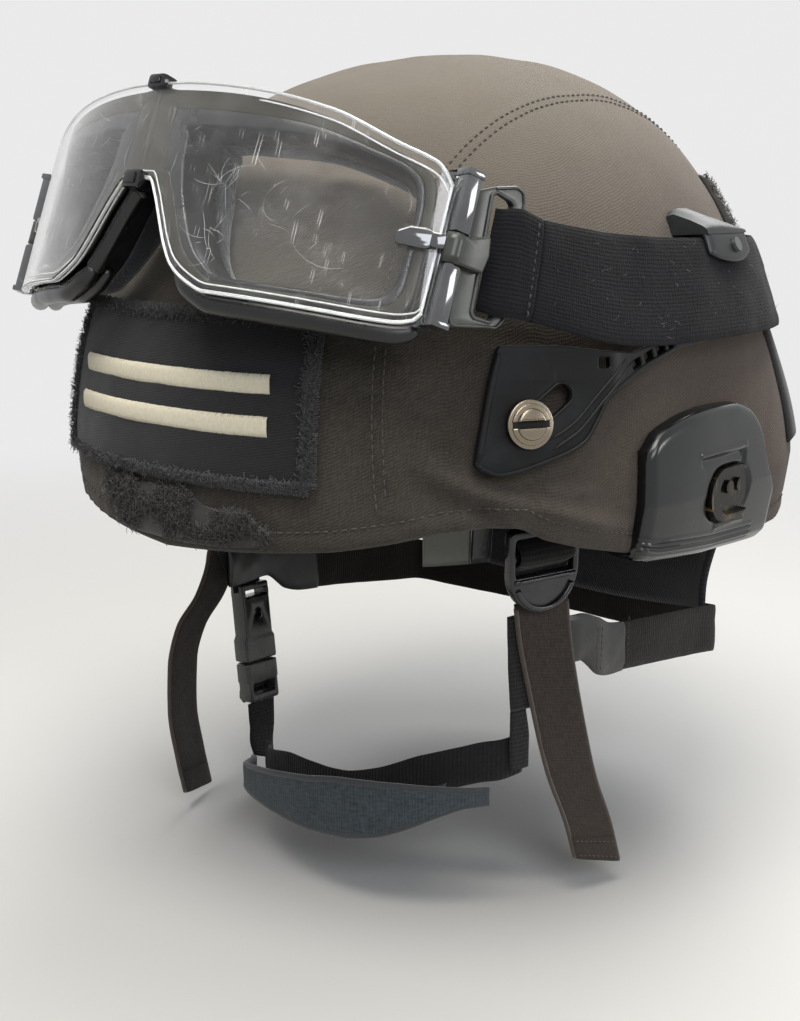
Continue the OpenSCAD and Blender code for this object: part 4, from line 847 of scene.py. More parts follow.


# Painted highlight: half-clear whitish tubes along the lens's rim, and two more 3 mm inside its lower edge
# and part of its upper edge, stand for the light the polished edge gathers
edge_highlight = shader("lens_edge_painted_highlight", "#e8eaea", 0.12, IOR=1.45, Transmission_Weight=0.45)[0]
edge_y = y_line[3:-3]
paths = [lens_p(edge_y, lens_top(edge_y) - 0.5, 1.2), lens_p(edge_y, lens_low(edge_y) + 0.5, 1.2),
         lens_p(edge_y, lens_low(edge_y) + 3.0, 2.9),
         lens_p(edge_y[150:], lens_top(edge_y[150:]) - 3.4, 2.9)]
edges = [tube("edge", q, r, up=(0, 1, 0.01), cols=8) for q, r in zip(paths, (0.6, 0.6, 0.3, 0.3))]
for s in (1, -1):
    v_side = np.linspace(-21, -lens_h + 6, 20)
    edges.append(tube("edge", lens_p(s * (lens_w - 0.4), v_side, 1.3), 0.45, cols=8, up=(1, 0, 0)))
piece("lens_edge", joined("lens_edge", edges), edge_highlight, "goggles", slot="clear polycarbonate")
scratch_white = shader("scratch_in_polycarbonate", "#f2f2f0", 0.4, Alpha=0.4)[0]
dice = np.random.default_rng(18)
cuts = []
for spot_y, spot_v, spread, count in ((38, -32, 9, 12), (38, -50, 8, 14), (10, -45, 30, 8),
                                      (70, -40, 14, 8), (-50, -35, 26, 10), (-12, -12, 14, 5),
                                      (60, -14, 22, 7)):
    for k in range(count):
        y0, v0 = spot_y + dice.normal(0, spread), spot_v + dice.normal(0, spread * 0.6)
        way, bend = dice.uniform(0, 6.28), dice.normal(0, 0.05)
        long = dice.uniform(1.5, 9) * (2 if k % 5 == 0 else 1)
        s = np.linspace(0, 1, 6)
        y = y0 + long * np.cos(way + bend * long * s) * s
        v = v0 + long * np.sin(way + bend * long * s) * s
        inside = (abs(y) < 96) & (v < lens_top(y) - 2) & (v > lens_low(y) + 2)
        if inside.all():
            cuts.append(tube("scratch", lens_p(y, v, -0.02), 0.06 * np.sin(np.pi * (0.12 + 0.76 * s)),
                             cols=4, up=(1, 0, 0)))
piece("lens_scratches", joined("lens_scratches", cuts), scratch_white, "goggles",
      slot="clear polycarbonate")

# Goggle frame
# Black moulded rubber rings round the eye windows behind the lens, joined by a bridge bar, with
# a thin olive flange of translucent plastic that fills in to the lens's edge.
eye_o = [[8, -2.2], [38, -3.5], [62, -6.8], [82, -12.8], [93, -17.5], [96.5, -24], [97, -42],
         [96.5, -lens_h + 8], [91, -lens_h + 3.2], [72, -lens_h + 2.4], [55, -lens_h + 2],
         [39, -lens_h + 2], [31, -lens_h + 5], [22, -lens_h + 12], [14.5, -nose_h - 9],
         [6, -nose_h + 1.5], [-1, -nose_h + 1.5], [-1, -2.2]]
eye_i = [[17, -13.8], [38, -13.6], [60, -13.6], [78, -16.5], [88, -19.5], [92, -26], [92.5, -42],
         [91.5, -lens_h + 12], [86, -lens_h + 7.5], [70, -lens_h + 6.4], [55, -lens_h + 6],
         [42, -lens_h + 6], [35, -lens_h + 9.5], [28.5, -lens_h + 16], [21, -nose_h - 3.5],
         [18.6, -nose_h + 4], [17.6, -24], [17, -17]]
frame_f, frame_b, foam_t = 3.3, 20.0, 11.0


def looped(points, per=8):
    """Closed outline through the points as a uniform cubic B-spline pulled out to them."""
    p = np.asarray(points, float)
    t = np.linspace(0, 1, per, endpoint=False)[:, None]
    a, b, c, d = (np.roll(p, s, 0)[:, None] for s in (1, 0, -1, -2))
    q = 0.5 * (2 * b + (c - a) * t + (2 * a - 5 * b + 4 * c - d) * t ** 2 + (3 * b - a - 3 * c + d)
               * t ** 3)
    return q.reshape(-1, p.shape[1])


def behind(yv, d):
    """Depth behind the lens at points (y, v), no deeper than where the cloth cover begins."""
    lo, hi = np.zeros(len(yv)), np.full(len(yv), float(d))
    free = clear_of(lens_p(yv[:, 0], yv[:, 1], hi)) > 3.0
    for _ in range(14):
        mid = (lo + hi) / 2
        ok = clear_of(lens_p(yv[:, 0], yv[:, 1], mid)) > 3.0
        lo, hi = np.where(ok, mid, lo), np.where(ok, hi, mid)
    return np.where(free, d, lo)


def eye_ring(name, outer, inner, d0, d1, side, round_by=0.8):
    """Ring round one eye: a rounded box section between two outlines, from d0 to d1 deep."""
    outer, inner = looped(outer), looped(inner)
    back_o, back_i = behind(outer, d1), behind(inner, d1)
    k = np.clip(round_by / np.linalg.norm(inner - outer, axis=1, keepdims=True), 0, 0.4)
    front = [(0, d0 + round_by), (k * 0.3, d0 + round_by * 0.3), (k, d0), (0.5, d0), (1 - k, d0),
             (1 - k * 0.3, d0 + round_by * 0.3), (1, d0 + round_by)]
    rear = [(1, (d0 + back_i) / 2), (1, back_i - round_by), (1 - k, back_i), (0.5, (back_i + back_o) / 2),
            (k, back_o), (0, back_o - round_by), (0, (d0 + back_o) / 2)]
    rows = []
    for share, depth in front + rear:
        yv = between(outer, inner, share)
        rows.append(lens_p(yv[:, 0] * lens_w / 100, yv[:, 1], depth))
    p = flip(np.stack(rows, 1), side)
    p = np.concatenate([p, p[:1]])
    return surface(name, p, laid(np.arange(15) * 3.0, run_of(p[:, 0])), wrap=True, sharp=50)


def between(outer, inner, k):
    """Outline a share k of the way from one outline to the other."""
    return np.asarray(outer, float) * (1 - k) + np.asarray(inner, float) * k


def flip(p, side):
    """The points themselves on the left, and their mirror image on the right."""
    return np.asarray(p, float) * [1, side, 1]


def box(name, size, place, bevel=0.5):
    """Box with bevelled edges; size in mm, place is a function from local points to the frame."""
    b = bmesh.new()
    bmesh.ops.create_cube(b, size=1.0)
    for vert in b.verts:
        vert.co = Vector([c * s for c, s in zip(vert.co, size)])
    bmesh.ops.bevel(b, geom=b.edges[:], offset=bevel, segments=2, affect="EDGES", profile=0.6)
    mesh = bpy.data.meshes.new(name)
    b.to_mesh(mesh)
    b.free()
    return moved(mesh, place)


def moved(mesh, place):
    """Moves a mesh made in local mm into the frame, by a function on an array of points."""
    local = np.empty(len(mesh.vertices) * 3)
    mesh.vertices.foreach_get("co", local)
    mesh.vertices.foreach_set("co", (place(local.reshape(-1, 3)) * MM).ravel())
    return tidy(mesh, 35)


def on_lens(name, size, y, v, d, bevel, side=1):
    """Box whose x stands off the lens, with its middle y across, v up and d behind it."""
    return box(name, size, lambda q: flip(lens_p(q[:, 1] + y, q[:, 2] + v, d - q[:, 0]), side), bevel)


frame_rubber = worn("goggle_rubber_black", "#0d0e0f", "#2d2f31", 0.32, grain=0.0015, bump=0.00002)
rings = [eye_ring("ring", between(eye_o, eye_i, 0.5), eye_i, frame_f + 0.2, frame_b, s) for s in (1, -1)]
rings.append(on_lens("bridge", (5.0, 6.4, 27.0), 0, -16.5, 6.0, 0.8))
y_rail = np.linspace(23, 99, 60)
for s in (1, -1):
    for drop, deep, fat in ((1.6, 7.5, 3.4), (0.6, 13.0, 3.0)):
        line = lens_p(s * y_rail, lens_low(y_rail) - drop, deep)
        ends = np.minimum(1, np.minimum(y_rail - 20, 103 - y_rail) / 8) ** 0.5
        rings.append(tube("rail", line, fat * ends, 14, up=eye_z))
    y_flank = np.linspace(5, 24, 24)
    rings.append(tube("flank", lens_p(s * y_flank, lens_low(y_flank) - 0.4, 8.0), 3.0, 14, up=(0, 1, 0)))
piece("goggle_frame", joined("goggle_frame", rings), frame_rubber, "goggles", "goggle_frame")
flange_olive = shader("flange_olive_clear", "#3f3c30", 0.3, IOR=1.3, Transmission_Weight=0.6)[0]
rings = [eye_ring("flange", eye_o, between(eye_o, eye_i, 0.56), frame_f + 0.1, frame_f + 1.5, s, 0.3)
         for s in (1, -1)]
piece("goggle_flange", joined("goggle_flange", rings), flange_olive, "goggles", slot="frame rubber")

# Face foam
# A soft black foam cushion glued to the back of each ring, squeezed where it meets the cover.
foam_black, t, bsdf = shader("face_foam_black", "#191b1e", 0.95, Sheen_Weight=0.4)
pores = add(t, "TexVoronoi", {"Vector": add(t, "TexCoord").outputs["Object"], "Scale": 900.0})
dents = add(t, "Bump", {"Height": pores.outputs["Distance"], "Distance": 0.0003, "Strength": 0.8})
t.links.new(dents.outputs[0], bsdf.inputs["Normal"])
rings = [eye_ring("foam", between(eye_o, eye_i, 0.2), between(eye_i, eye_o, 0.05), frame_b - 0.2,
                  frame_b + foam_t, s, 2.0) for s in (1, -1)]
foam = piece("goggle_foam", joined("goggle_foam", rings), foam_black, "goggles", "goggle_foam")

# Lens clips
# Two small glossy black blocks that snap over the lens's middle, above and in the nose notch.
gloss_black = worn("moulded_black_gloss", "#0a0b0c", "#3d4042", 0.16, grain=0.002, bump=0.00001,
                   gloss_spread=0.06)
for node, v_mid, tall, wide in (("top_clip", -0.2, 4.6, 8.0), ("nose_clip", -nose_h - 0.4, 6.0, 8.4)):
    parts = [on_lens("block", (frame_f + 2.6, wide, tall), 0, v_mid, 1.2, 1.2),
             on_lens("face", (1.2, wide - 3.2, tall - 2.4), 0, v_mid, -1.9, 0.4)]
    piece(node, joined(node, parts), gloss_black, "goggles", node)

# Hinge bars
# A glossy black bar stands above and below the outrigger's lug at each end of the lens, on one
# steel pin. Short arms and a thin rail tie the bars to the frame, with a snap hook in front.
side_v, side_gap, yaw_out, pin_x, bar_r = -40.0, 3.0, math.radians(16), 2.3, 2.7
bar_top, bar_gap_hi, bar_gap_lo, bar_low = 24.5, 5.4, -3.9, -23.0
side_p = lens_p(lens_w, side_v, 0.0) + [0, side_gap, 0]
back = np.array([0, math.sin(yaw_out), 0]) - math.cos(yaw_out) * eye_x
inward = np.array([0, -math.cos(yaw_out), 0]) - math.sin(yaw_out) * eye_x


def side_at(x, h, v):
    """Point beside the lens: x mm back along the outrigger, h inward from it and v up."""
    x, h, v = np.broadcast_arrays(np.asarray(x, float), np.asarray(h, float), np.asarray(v, float))
    return side_p + x[..., None] * back + h[..., None] * inward + v[..., None] * eye_z


def corners(points, radius, steps=5):
    """Outline with each corner cut by an arc; the radius shrinks where an edge is short."""
    p = np.asarray(points, float)
    done = []
    for before, here, after in zip(np.roll(p, 1, 0), p, np.roll(p, -1, 0)):
        a, b = before - here, after - here
        la, lb = np.linalg.norm(a), np.linalg.norm(b)
        half = math.acos(np.clip(a @ b / la / lb, -1, 1)) / 2
        cut = min(radius / max(math.tan(half), 0.05), la * 0.45, lb * 0.45)
        start, stop = here + a / la * cut, here + b / lb * cut
        for s in np.linspace(0, 1, steps):
            done.append((1 - s) ** 2 * start + 2 * s * (1 - s) * here + s * s * stop)
    return np.array(done)


def plate(name, outline, holes, z0, z1, place, bevel=0.35, cuts=()):
    """Flat plate from z0 to z1 with rounded edges, filled between its outline and its holes.
    cuts are local x values at which its faces are divided before it is bent into place."""
    drawn = bpy.data.curves.new(name, "CURVE")
    drawn.dimensions = "2D"
    drawn.fill_mode = "BOTH"
    for ring in (outline, *holes):
        line = drawn.splines.new("POLY")
        line.points.add(len(ring) - 1)
        for point, (x, y) in zip(line.points, ring):
            point.co = (x, y, 0, 1)
        line.use_cyclic_u = True
    drawn.extrude = (z1 - z0) / 2 - bevel
    drawn.bevel_depth = bevel
    drawn.offset = -bevel
    drawn.bevel_resolution = 2
    held = bpy.data.objects.new(name, drawn)
    mesh = bpy.data.meshes.new_from_object(held)
    bpy.data.objects.remove(held)
    b = bmesh.new()
    b.from_mesh(mesh)
    bmesh.ops.remove_doubles(b, verts=b.verts, dist=0.0005)
    for x in cuts:
        bmesh.ops.bisect_plane(b, geom=b.verts[:] + b.edges[:] + b.faces[:], plane_co=(x, 0, 0),
                               plane_no=(1, 0, 0))
    bmesh.ops.translate(b, verts=b.verts, vec=(0, 0, (z0 + z1) / 2))
    b.to_mesh(mesh)
    b.free()
    return moved(mesh, place)


def disc(x, y, r, n=40):
    """Outline of a circle."""
    s = np.arange(n) * 2 * np.pi / n
    return np.stack([x + r * np.cos(s), y + r * np.sin(s)], -1)


steel = shader("hinge_pin_steel", "#8f9296", 0.3, Metallic=1.0)[0]
bar_gloss = worn("hinge_bar_black_gloss", "#1d2024", "#6a7076", 0.1, grain=0.002, bump=0.00001,
                 gloss_spread=0.04, Specular_IOR_Level=1.0, Coat_Weight=1.0)
for side, node in ((1, "left_hinge_bar"), (-1, "right_hinge_bar")):
    parts = []

    def at_pin(q):
        """From local points about the hinge pin, x back, y in and z up, to this side."""
        return flip(side_at(q[:, 0] + pin_x, q[:, 1], q[:, 2]), side)

    def on_arm(q):
        """From the arm's flat outline, with z up the lens, to this side."""
        return flip(foot_p + q[:, :1] * eye_x + q[:, 1:2] * [0, 1, 0] + q[:, 2:] * eye_z, side)

    def on_hook(q):
        """From the hook's flat outline, drawn on the lens's front, to this side."""
        return flip(lens_p(97.0 + q[:, 0], side_v + 2 + q[:, 1], -q[:, 2] - 0.4), side)

    for lo, hi in ((bar_low, bar_gap_lo), (bar_gap_hi, bar_top)):
        mid = (lo + hi) / 2
        cap_v = (hi if hi > 6 else lo) - math.copysign(1.4, mid)
        parts.append(box("bar", (5.6, 5.4, hi - lo), lambda q: at_pin(q + [0, 0, mid]), 1.3))
        parts.append(box("bar_cap", (6.4, 6.2, 2.2), lambda q: at_pin(q + [0, 0, cap_v]), 0.6))
    for v0, v1 in ((bar_top - 3.2, bar_top), (bar_low, bar_low + 3.2)):
        arm = [side_at(pin_x + 1, -1.5, 0), side_at(pin_x - 1.5, 2.2, 0), lens_p(96.3, side_v, 11.5),
               lens_p(96.5, side_v, 6.4)]
        foot_p = arm[0]
        flat = [((q - foot_p) @ eye_x, (q - foot_p)[1]) for q in arm]
        parts.append(plate("arm", corners(flat, 0.8), [], v0, v1, on_arm, 0.4))
    parts.append(on_lens("rail", (9.5, 1.6, 44.0), 100.6, side_v + 0.5, 6.5, 0.6, side))
    hook = [(-7.4, -3.2), (0.6, -3.0), (2.6, -1.0), (2.6, 2.0), (-0.6, 3.2), (-4.6, 2.8), (-7.6, 0.6)]
    parts.append(plate("hook", corners(hook, 1.4), [], -1.9, 0.5, on_hook, 0.8))
    parts.append(on_lens("hook_web", (5.0, 3.4, 4.6), 99.6, side_v + 2, 0.6, 0.8, side))
    piece(node, joined(node, parts), bar_gloss, "goggles", node)
    pin = side_at(pin_x, 0, np.linspace(bar_low + 1, bar_top - 1, 8))
    piece(node + "_pin", tube("pin", flip(pin, side), 1.5, 14, up=(1, 0, 0)), steel, "goggles",
          slot=slot_of[node])

# Outriggers
# Olive-grey nylon plates that swing on the hinge pins. A raised lip runs round the long slot
# that takes the strap, and a rounded lug wraps the pin between the two bars.
plate_in, outrig_t = 2.6, 2.4
slot_a = [[17.6, 21], [13, 21.6], [11.6, 20.2], [14.3, -14.4], [15.6, -15.6], [20.4, -15.2],
          [21.4, -13.4], [19, 20]]
plate_a = [[6.2, 20], [12.2, 23.3], [19.2, 26.2], [22, 25.6], [23.2, 22.3], [25.6, -13.6], [23.6, -16.6],
           [21, -17], [6.8, -21]]
nylon = worn("nylon_olive_black", "#272a26", "#6a6f68", 0.3, grain=0.0016, bump=0.00002, scuff=0.4,
             gloss_spread=0.08)


def lifted(outline, h):
    """Points of a flat outline at height h."""
    return np.column_stack([outline, np.full(len(outline), h)])


for side, node in ((1, "left_outrigger"), (-1, "right_outrigger")):

    def put(q):
        """From the flat outrigger, x back, y up and z out, to this side."""
        return flip(side_at(q[:, 0], plate_in - q[:, 2], q[:, 1]), side)

    lug = [[pin_x, bar_gap_hi - 0.3], [5.6, bar_gap_hi - 0.3], [12.4, 8], [13.4, 2], [12.4, -3.4],
           [pin_x, bar_gap_lo + 0.3]]
    parts = [plate("plate", corners(plate_a, 2.2), [corners(slot_a, 1.1)], 0, outrig_t, put, 0.5),
             plate("lug", corners(lug, 0.8), [], 0.4, plate_in + bar_r + 0.2, put, 0.7)]
    slot_lip = corners([[x + (0.6 if x > 17 else -0.6), y] for x, y in slot_a], 1.2)
    parts.append(tube("lip", put(lifted(slot_lip, outrig_t)), 0.65, 8, closed=True, up=inward))
    rim_line = corners([[x * 0.985 + 0.2, y * 0.97] for x, y in plate_a], 2.2)[5:]
    parts.append(tube("rim", put(lifted(rim_line, outrig_t)), 0.5, 8, up=inward))
    barrel = side_at(pin_x, 0, np.linspace(bar_gap_lo + 0.3, bar_gap_hi - 0.3, 5))
    parts.append(tube("barrel", flip(barrel, side), 3.0, 20, up=(1, 0, 0)))
    piece(node, joined(node, parts), nylon, node + "_body", node)

# Elastic strap
# Black ribbed elastic. Each end is folded through an outrigger's slot and sewn down on itself,
# and the strap then runs round the back of the cover under the two keepers. It has shed lint.
strap_t, strap_off = 2.2, 8.95
elastic = woven("elastic_black_ribbed", "#040507", "#0d0e13", "#101118", 0.0013, turn=0.0, sheen=0.05,
                bump=0.00028, slub=0.62, slant=0.0, fade=0.3)
lint_grey = thread("lint_grey", "#4a4a50", "#8b8b90")


def smooth_line(points, at, s):
    """Smooth curve through points whose lengths along it are at, read off at the lengths s."""
    return np.stack([smooth(s, at, points[:, k]) for k in range(3)], -1)


def web(name, stations, t, per=10, cols=17, slack=0.0, seed=1, round_edge=6.0):
    """Strap through stations, each a pair of edge points in mm. Its section has a rounded
    selvedge, and slack adds gentle waves to it. The UV runs across and then along, in metres."""
    st = np.asarray(stations, float)
    at = run_of(st.mean(1))
    s = np.linspace(0, at[-1], per * len(st))
    lo, hi = smooth_line(st[:, 0], at, s), smooth_line(st[:, 1], at, s)
    w = (1 - np.cos(np.linspace(0, np.pi, cols))) / 2
    mid = lo[:, None] + (hi - lo)[:, None] * w[None, :, None]
    n = unit(np.cross(np.gradient(mid, axis=0), (hi - lo)[:, None]))
    mid = mid + n * (slack * ripple(mid, seed, 26))[..., None]
    half = t / 2 * np.maximum(1 - abs(2 * w - 1) ** round_edge, 0.05) ** 0.5
    wide = np.linalg.norm(hi - lo, axis=1).mean()
    return slab(name, mid + n * half[None, :, None], mid - n * half[None, :, None], laid(w * wide, s))


def both_edges(line, side):
    """Stations of a strap, as they are on the left or mirrored to the right."""
    return [(flip(lo, side), flip(hi, side)) for lo, hi in line]


fold_h = plate_in - outrig_t / 2
outer_h = plate_in - outrig_t - strap_t / 2 - 0.7
seam_share = np.linspace(0, 1, 12)[:, None]
for side, word in ((1, "left"), (-1, "right")):
    node, body = word + "_strap_loop", word + "_outrigger_body"
    line = [(side_at(16.8, fold_h + 1, -12.8), side_at(14.9, fold_h + 1, 17.8)),
            (side_at(18.2, fold_h - 0.6, -13), side_at(16.8, fold_h - 0.4, 18)),
            (side_at(20.4, outer_h + 0.2, -13.4), side_at(18.2, outer_h + 0.2, 18.6)),
            (side_at(23.0, outer_h - 0.7, -13.0), side_at(20.6, outer_h - 0.7, 19.2)),
            (side_at(27.6, outer_h - 0.5, -12), side_at(24.4, outer_h - 0.5, 19.2)),
            (side_at(33.4, outer_h + 0.2, -10.9), side_at(29.2, outer_h + 0.2, 19.3))]
    mesh = web(node, both_edges(line, side), strap_t + 1.1, slack=0.25, seed=41)
    piece(node, mesh, elastic, body, node)
    seam = between(side_at(31.4, outer_h - 1.4, -10.6), side_at(27.4, outer_h - 1.4, 18.6), seam_share)
    outward = np.broadcast_to(flip(-inward, side), seam.shape)
    sewn = stitches("seam", flip(seam, side), outward, 2.6, 1.9, 0.5)
    piece(node + "_seam", sewn, patch_yarn, body, slot=slot_of[node])


def strap_o(a):
    """How far the strap's middle stands off the form at a bearing."""
    return np.interp(a, [60, 100, 125, 180], [strap_off, strap_off - 0.2, 4.6, 4]) + strap_t / 2


belt = [(side_at(33.2, outer_h + 0.4, -11), side_at(29.2, outer_h + 0.4, 19.1))]
for bearing_at in (68, 74, 81, 88, 96, 105, 115, 126, 138, 152, 166, 180):
    lo_z = np.interp(bearing_at, [60, 75, 95, 180], [74.5, 73, 73, 70])
    hi_z = np.interp(bearing_at, [60, 75, 95, 180], [109, 107, 105.7, 104])
    belt.append((dome(bearing_at, lo_z, strap_o(bearing_at)), dome(bearing_at, hi_z, strap_o(bearing_at))))
belt += both_edges(belt[-2::-1], -1)
belt_mesh = web("goggle_strap", belt, strap_t + 0.2, per=9, cols=21, slack=0.45, seed=8)
strap = piece("goggle_strap", belt_mesh, elastic, None, "goggle_strap")
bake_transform(strap)
dice = np.random.default_rng(52)
lint_count = 70
# This draw only moves the generator on to the scatter that suits the strap
dice.integers(1, 12, lint_count)
height = dice.uniform(0.05, 0.95, lint_count)[:, None]
k = dice.uniform(0.2, 11.5, lint_count)
i, f = k.astype(int), (k % 1)[:, None]
belt_lo, belt_hi = (np.array([s[e] for s in belt[:13]]) for e in (0, 1))
spot = between(between(belt_lo[i], belt_lo[i + 1], f), between(belt_hi[i], belt_hi[i + 1], f), height)
away = unit(spot * [1 / front_len ** 2, 1 / half_w ** 2, 0])
lint = piece("strap_lint", fuzz("strap_lint", spot + away * 1.25, away, 2.0, 0.12, 3.6, 9), lint_grey,
             None, slot=slot_of["goggle_strap"])
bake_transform(lint)

# Strap keepers
# Grey nylon hooks riveted to the wall. Each reaches over the strap's top edge and down its
# outer face, where its flange ends in a rounded bay.
keeper_grey = worn("nylon_grey", "#101214", "#3e4345", 0.42, grain=0.0014, bump=0.00003, scuff=0.35)
keep_o = strap_off + strap_t + 0.4
keep_b = [88, 90.5, 93, 96, 99, 102]
keep_lap, keep_top = 109.2, 107.6
for side, node in ((1, "left_strap_keeper"), (-1, "right_strap_keeper")):
    u, v = grid(keep_b[0], keep_b[-1], 40, 0, 1, 14)
    foot_z = smooth(u, keep_b, [101, 99.5, 98.5, 98, 98.5, 101])
    head_z = smooth(u, keep_b, [114, 116, 116, 115, 113.5, 111.5])
    edge = pillow((u - keep_b[0]) / (keep_b[-1] - keep_b[0]), v, (0.1, 0.3))
    z = foot_z + (keep_lap - foot_z) * v
    front = slab("flange", flip(dome(u, z, keep_o + 0.7 + 1.3 * edge), side),
                 flip(dome(u, z, keep_o), side), np.stack([u, v], -1) * 0.02, 40)
    z = keep_top + (head_z - keep_top) * v
    reach_o = keep_o + 2.0 - (keep_o - 1.2) * np.clip(v - 0.25, 0, 1) ** 1.4 / 0.75 ** 1.4
    under = dome(u, z - 0.8, np.minimum(0.4, reach_o - 0.4))
    cap = slab("cap", flip(dome(u, z, reach_o), side), flip(under, side), np.stack([u, v], -1) * 0.02, 40)
    piece(node, joined(node, [front, cap]), keeper_grey, "helmet", node)
dress("keeper_rivets", worn("rivet_steel_grey", "#6a6d6f", "#a5a8aa", 0.35, Metallic=0.9))

# Rim clips
# Thick glossy black nylon clips hooked over the rim behind each ear, with ridges along the lip,
# a stepped slot above the boss and two raised bars below it. Scuffed brass shows on the boss.
hem_in, clip_wall, seat = -14.1, 6.0, 0.3
clip_b = [71.3, 74, 78, 83, 89, 95, 99, 101.5, 104, 107.8]
clip_hi = [38, 44, 47, 49, 49.6, 49.2, 47, 42, 26, 14]
boss_a, boss_z, boss_l = 89.8, 18.5, 9.0
clip_in = seat + 0.3
clip_out = clip_in + clip_wall


def refined(control, n):
    """Rows of a control grid drawn out to n rows by a Catmull-Rom curve down each column."""
    k = np.linspace(0, len(control) - 1, n)
    i = np.minimum(k.astype(int), len(control) - 2)
    t = (k - i)[:, None]
    a, b, c, d = (control[np.clip(i + s, 0, len(control) - 1)] for s in (-1, 0, 1, 2))
    return 0.5 * (2 * b + (c - a) * t + (2 * a - 5 * b + 4 * c - d) * t ** 2 + (3 * b - a - 3 * c + d)
                  * t ** 3)


def inside(x, z, x0, x1, z0, z1, soft=0.35):
    """1 inside a rectangle and 0 outside it, with a soft edge."""
    gap = np.maximum(np.maximum(x0 - x, x - x1), np.maximum(z0 - z, z - z1))
    return 1 / (1 + np.exp(np.clip(gap / soft * 3, -30, 30)))


clip_gloss = worn("nylon_black_gloss", "#0d1011", "#3d4241", 0.23, grain=0.0022, bump=0.00002, scuff=0.22,
                  gloss_spread=0.07)
for side, node in ((1, "left_rim_clip"), (-1, "right_rim_clip")):
    b = np.linspace(clip_b[0], clip_b[-1], 190)
    hi, low = smooth(b, clip_b, clip_hi), rim(b)
    upper = [low + 5, *(low + 5 + (hi - low - 8) * share for share in (0.3, 0.6, 0.85)), hi - 3, hi - 0.6,
             hi]
    z_rows = np.stack([low + 12, low + 1, low - 1.9, low - 1.9, low + 1.4, *upper])
    in_z = np.stack([low + 12, low + 1.4, low - seat, low - seat, low + 1.4, *upper])
    o_rows = np.array([hem_in - 2.8, hem_in - 2.8, hem_in + 0.4, 1, clip_out - 1, *([clip_out] * 4),
                       clip_out - 0.2, clip_out - 1.8, clip_out - 4.4])[:, None] + 0 * z_rows
    in_o = np.array([hem_in - 0.4, hem_in - 0.4, hem_in, 0, clip_in - 0.1, *([clip_in] * 7)])
    in_o = in_o[:, None] + 0 * in_z
    z_rows, o_rows, in_z, in_o = (refined(g, 170) for g in (z_rows, o_rows, in_z, in_o))
    ends = np.minimum(b - b[0], b[-1] - b) * 2.2
    fall = 3.2 * (1 - np.sqrt(1 - (1 - np.clip(ends / 4.5, 0, 1)) ** 2))
    o_rows = o_rows - np.where(o_rows > 1, 1, 0) * fall[None, :]
    x, h = (b[None, :] - boss_a) * 2.26 + 0 * z_rows, z_rows - boss_z
    above = z_rows - low[None, :]
    face = np.clip((o_rows - 2) / 2, 0, 1)
    ridge = 0.4 * np.sin(above * 2 * np.pi / 2.1) * inside(x, above, -44, 26, 0.9, 7.2, 0.6)
    groove = -1.1 * np.maximum(inside(x, h, -14, 15, 12.0, 14.0, 0.5),
                               inside(x, h, 12.5, 14.8, 8.6, 13.0, 0.5))
    lips = 0.6 * inside(x, h, -15, 16, 15.2, 16.2, 0.5)
    bars = 0.8 * inside(x, h, -2, 18, -12.6, -11.4, 0.5)
    past_boss = np.hypot(x - np.clip(x, 0, boss_l), h) - 9.9
    well = -1.9 / (1 + np.exp(np.clip(past_boss / 0.2, -30, 30)))
    o_rows = o_rows + face * (ridge + groove + lips + bars + well)
    top, under = flip(dome(b[None, :], z_rows, o_rows), side), flip(dome(b[None, :], in_z, in_o), side)
    piece(node, slab(node, top, under, np.stack([x, h], -1) * MM, 60), clip_gloss, "helmet", node)
dress("rim_clip_screws", worn("brass_worn_black", "#1c1914", "#a08a5a", 0.3, scuff=0.7, Metallic=0.6))

# Visor brackets
# Black anodised plates with a slanting slot for the screw. The rear arm bends twice to follow
# the wall, four windows are punched in it, and ribs and a front flange stiffen the plate.
hub = dome(51.8, 51.7, 0.0)
hub_yaw, hub_pitch = math.radians(60.6), math.radians(8)
hub_flat = math.cos(hub_pitch)
hub_n = np.array([hub_flat * math.cos(hub_yaw), hub_flat * math.sin(hub_yaw), math.sin(hub_pitch)])
hub_x = np.array([-math.sin(hub_yaw), math.cos(hub_yaw), 0])
hub_y = np.cross(hub_n, hub_x)
plate_lo, plate_t, arm_a, bend_2 = 1.5, 3.0, 23.4, 6.6
plate_top = plate_lo + plate_t
slot_dir, slot_l, bore_r = math.radians(36.6), 14.0, 3.5
bend_s = np.linspace(-40, 140, 1801)
bend_by = np.radians(arm_a * np.clip((bend_s - 28.5) / 6, 0, 1) + bend_2 * np.clip((bend_s - 59) / 6, 0, 1))
step = bend_s[1] - bend_s[0]
bent_x = -40 + np.cumsum(np.cos(bend_by)) * step
bent_z = -np.cumsum(np.sin(bend_by)) * step


def at_hub(q, side):
    """From the unfolded bracket, x rearward, y up and z out, to the bent one on its hub."""
    x, z = np.interp(q[:, 0], bend_s, bent_x), np.interp(q[:, 0], bend_s, bent_z)
    lean = np.interp(q[:, 0], bend_s, bend_by)
    out = q[:, 2] - plate_top
    x, z = x + out * np.sin(lean), z + plate_top + out * np.cos(lean)
    return flip(hub + x[:, None] * hub_x + q[:, 1:2] * hub_y + z[:, None] * hub_n, side)


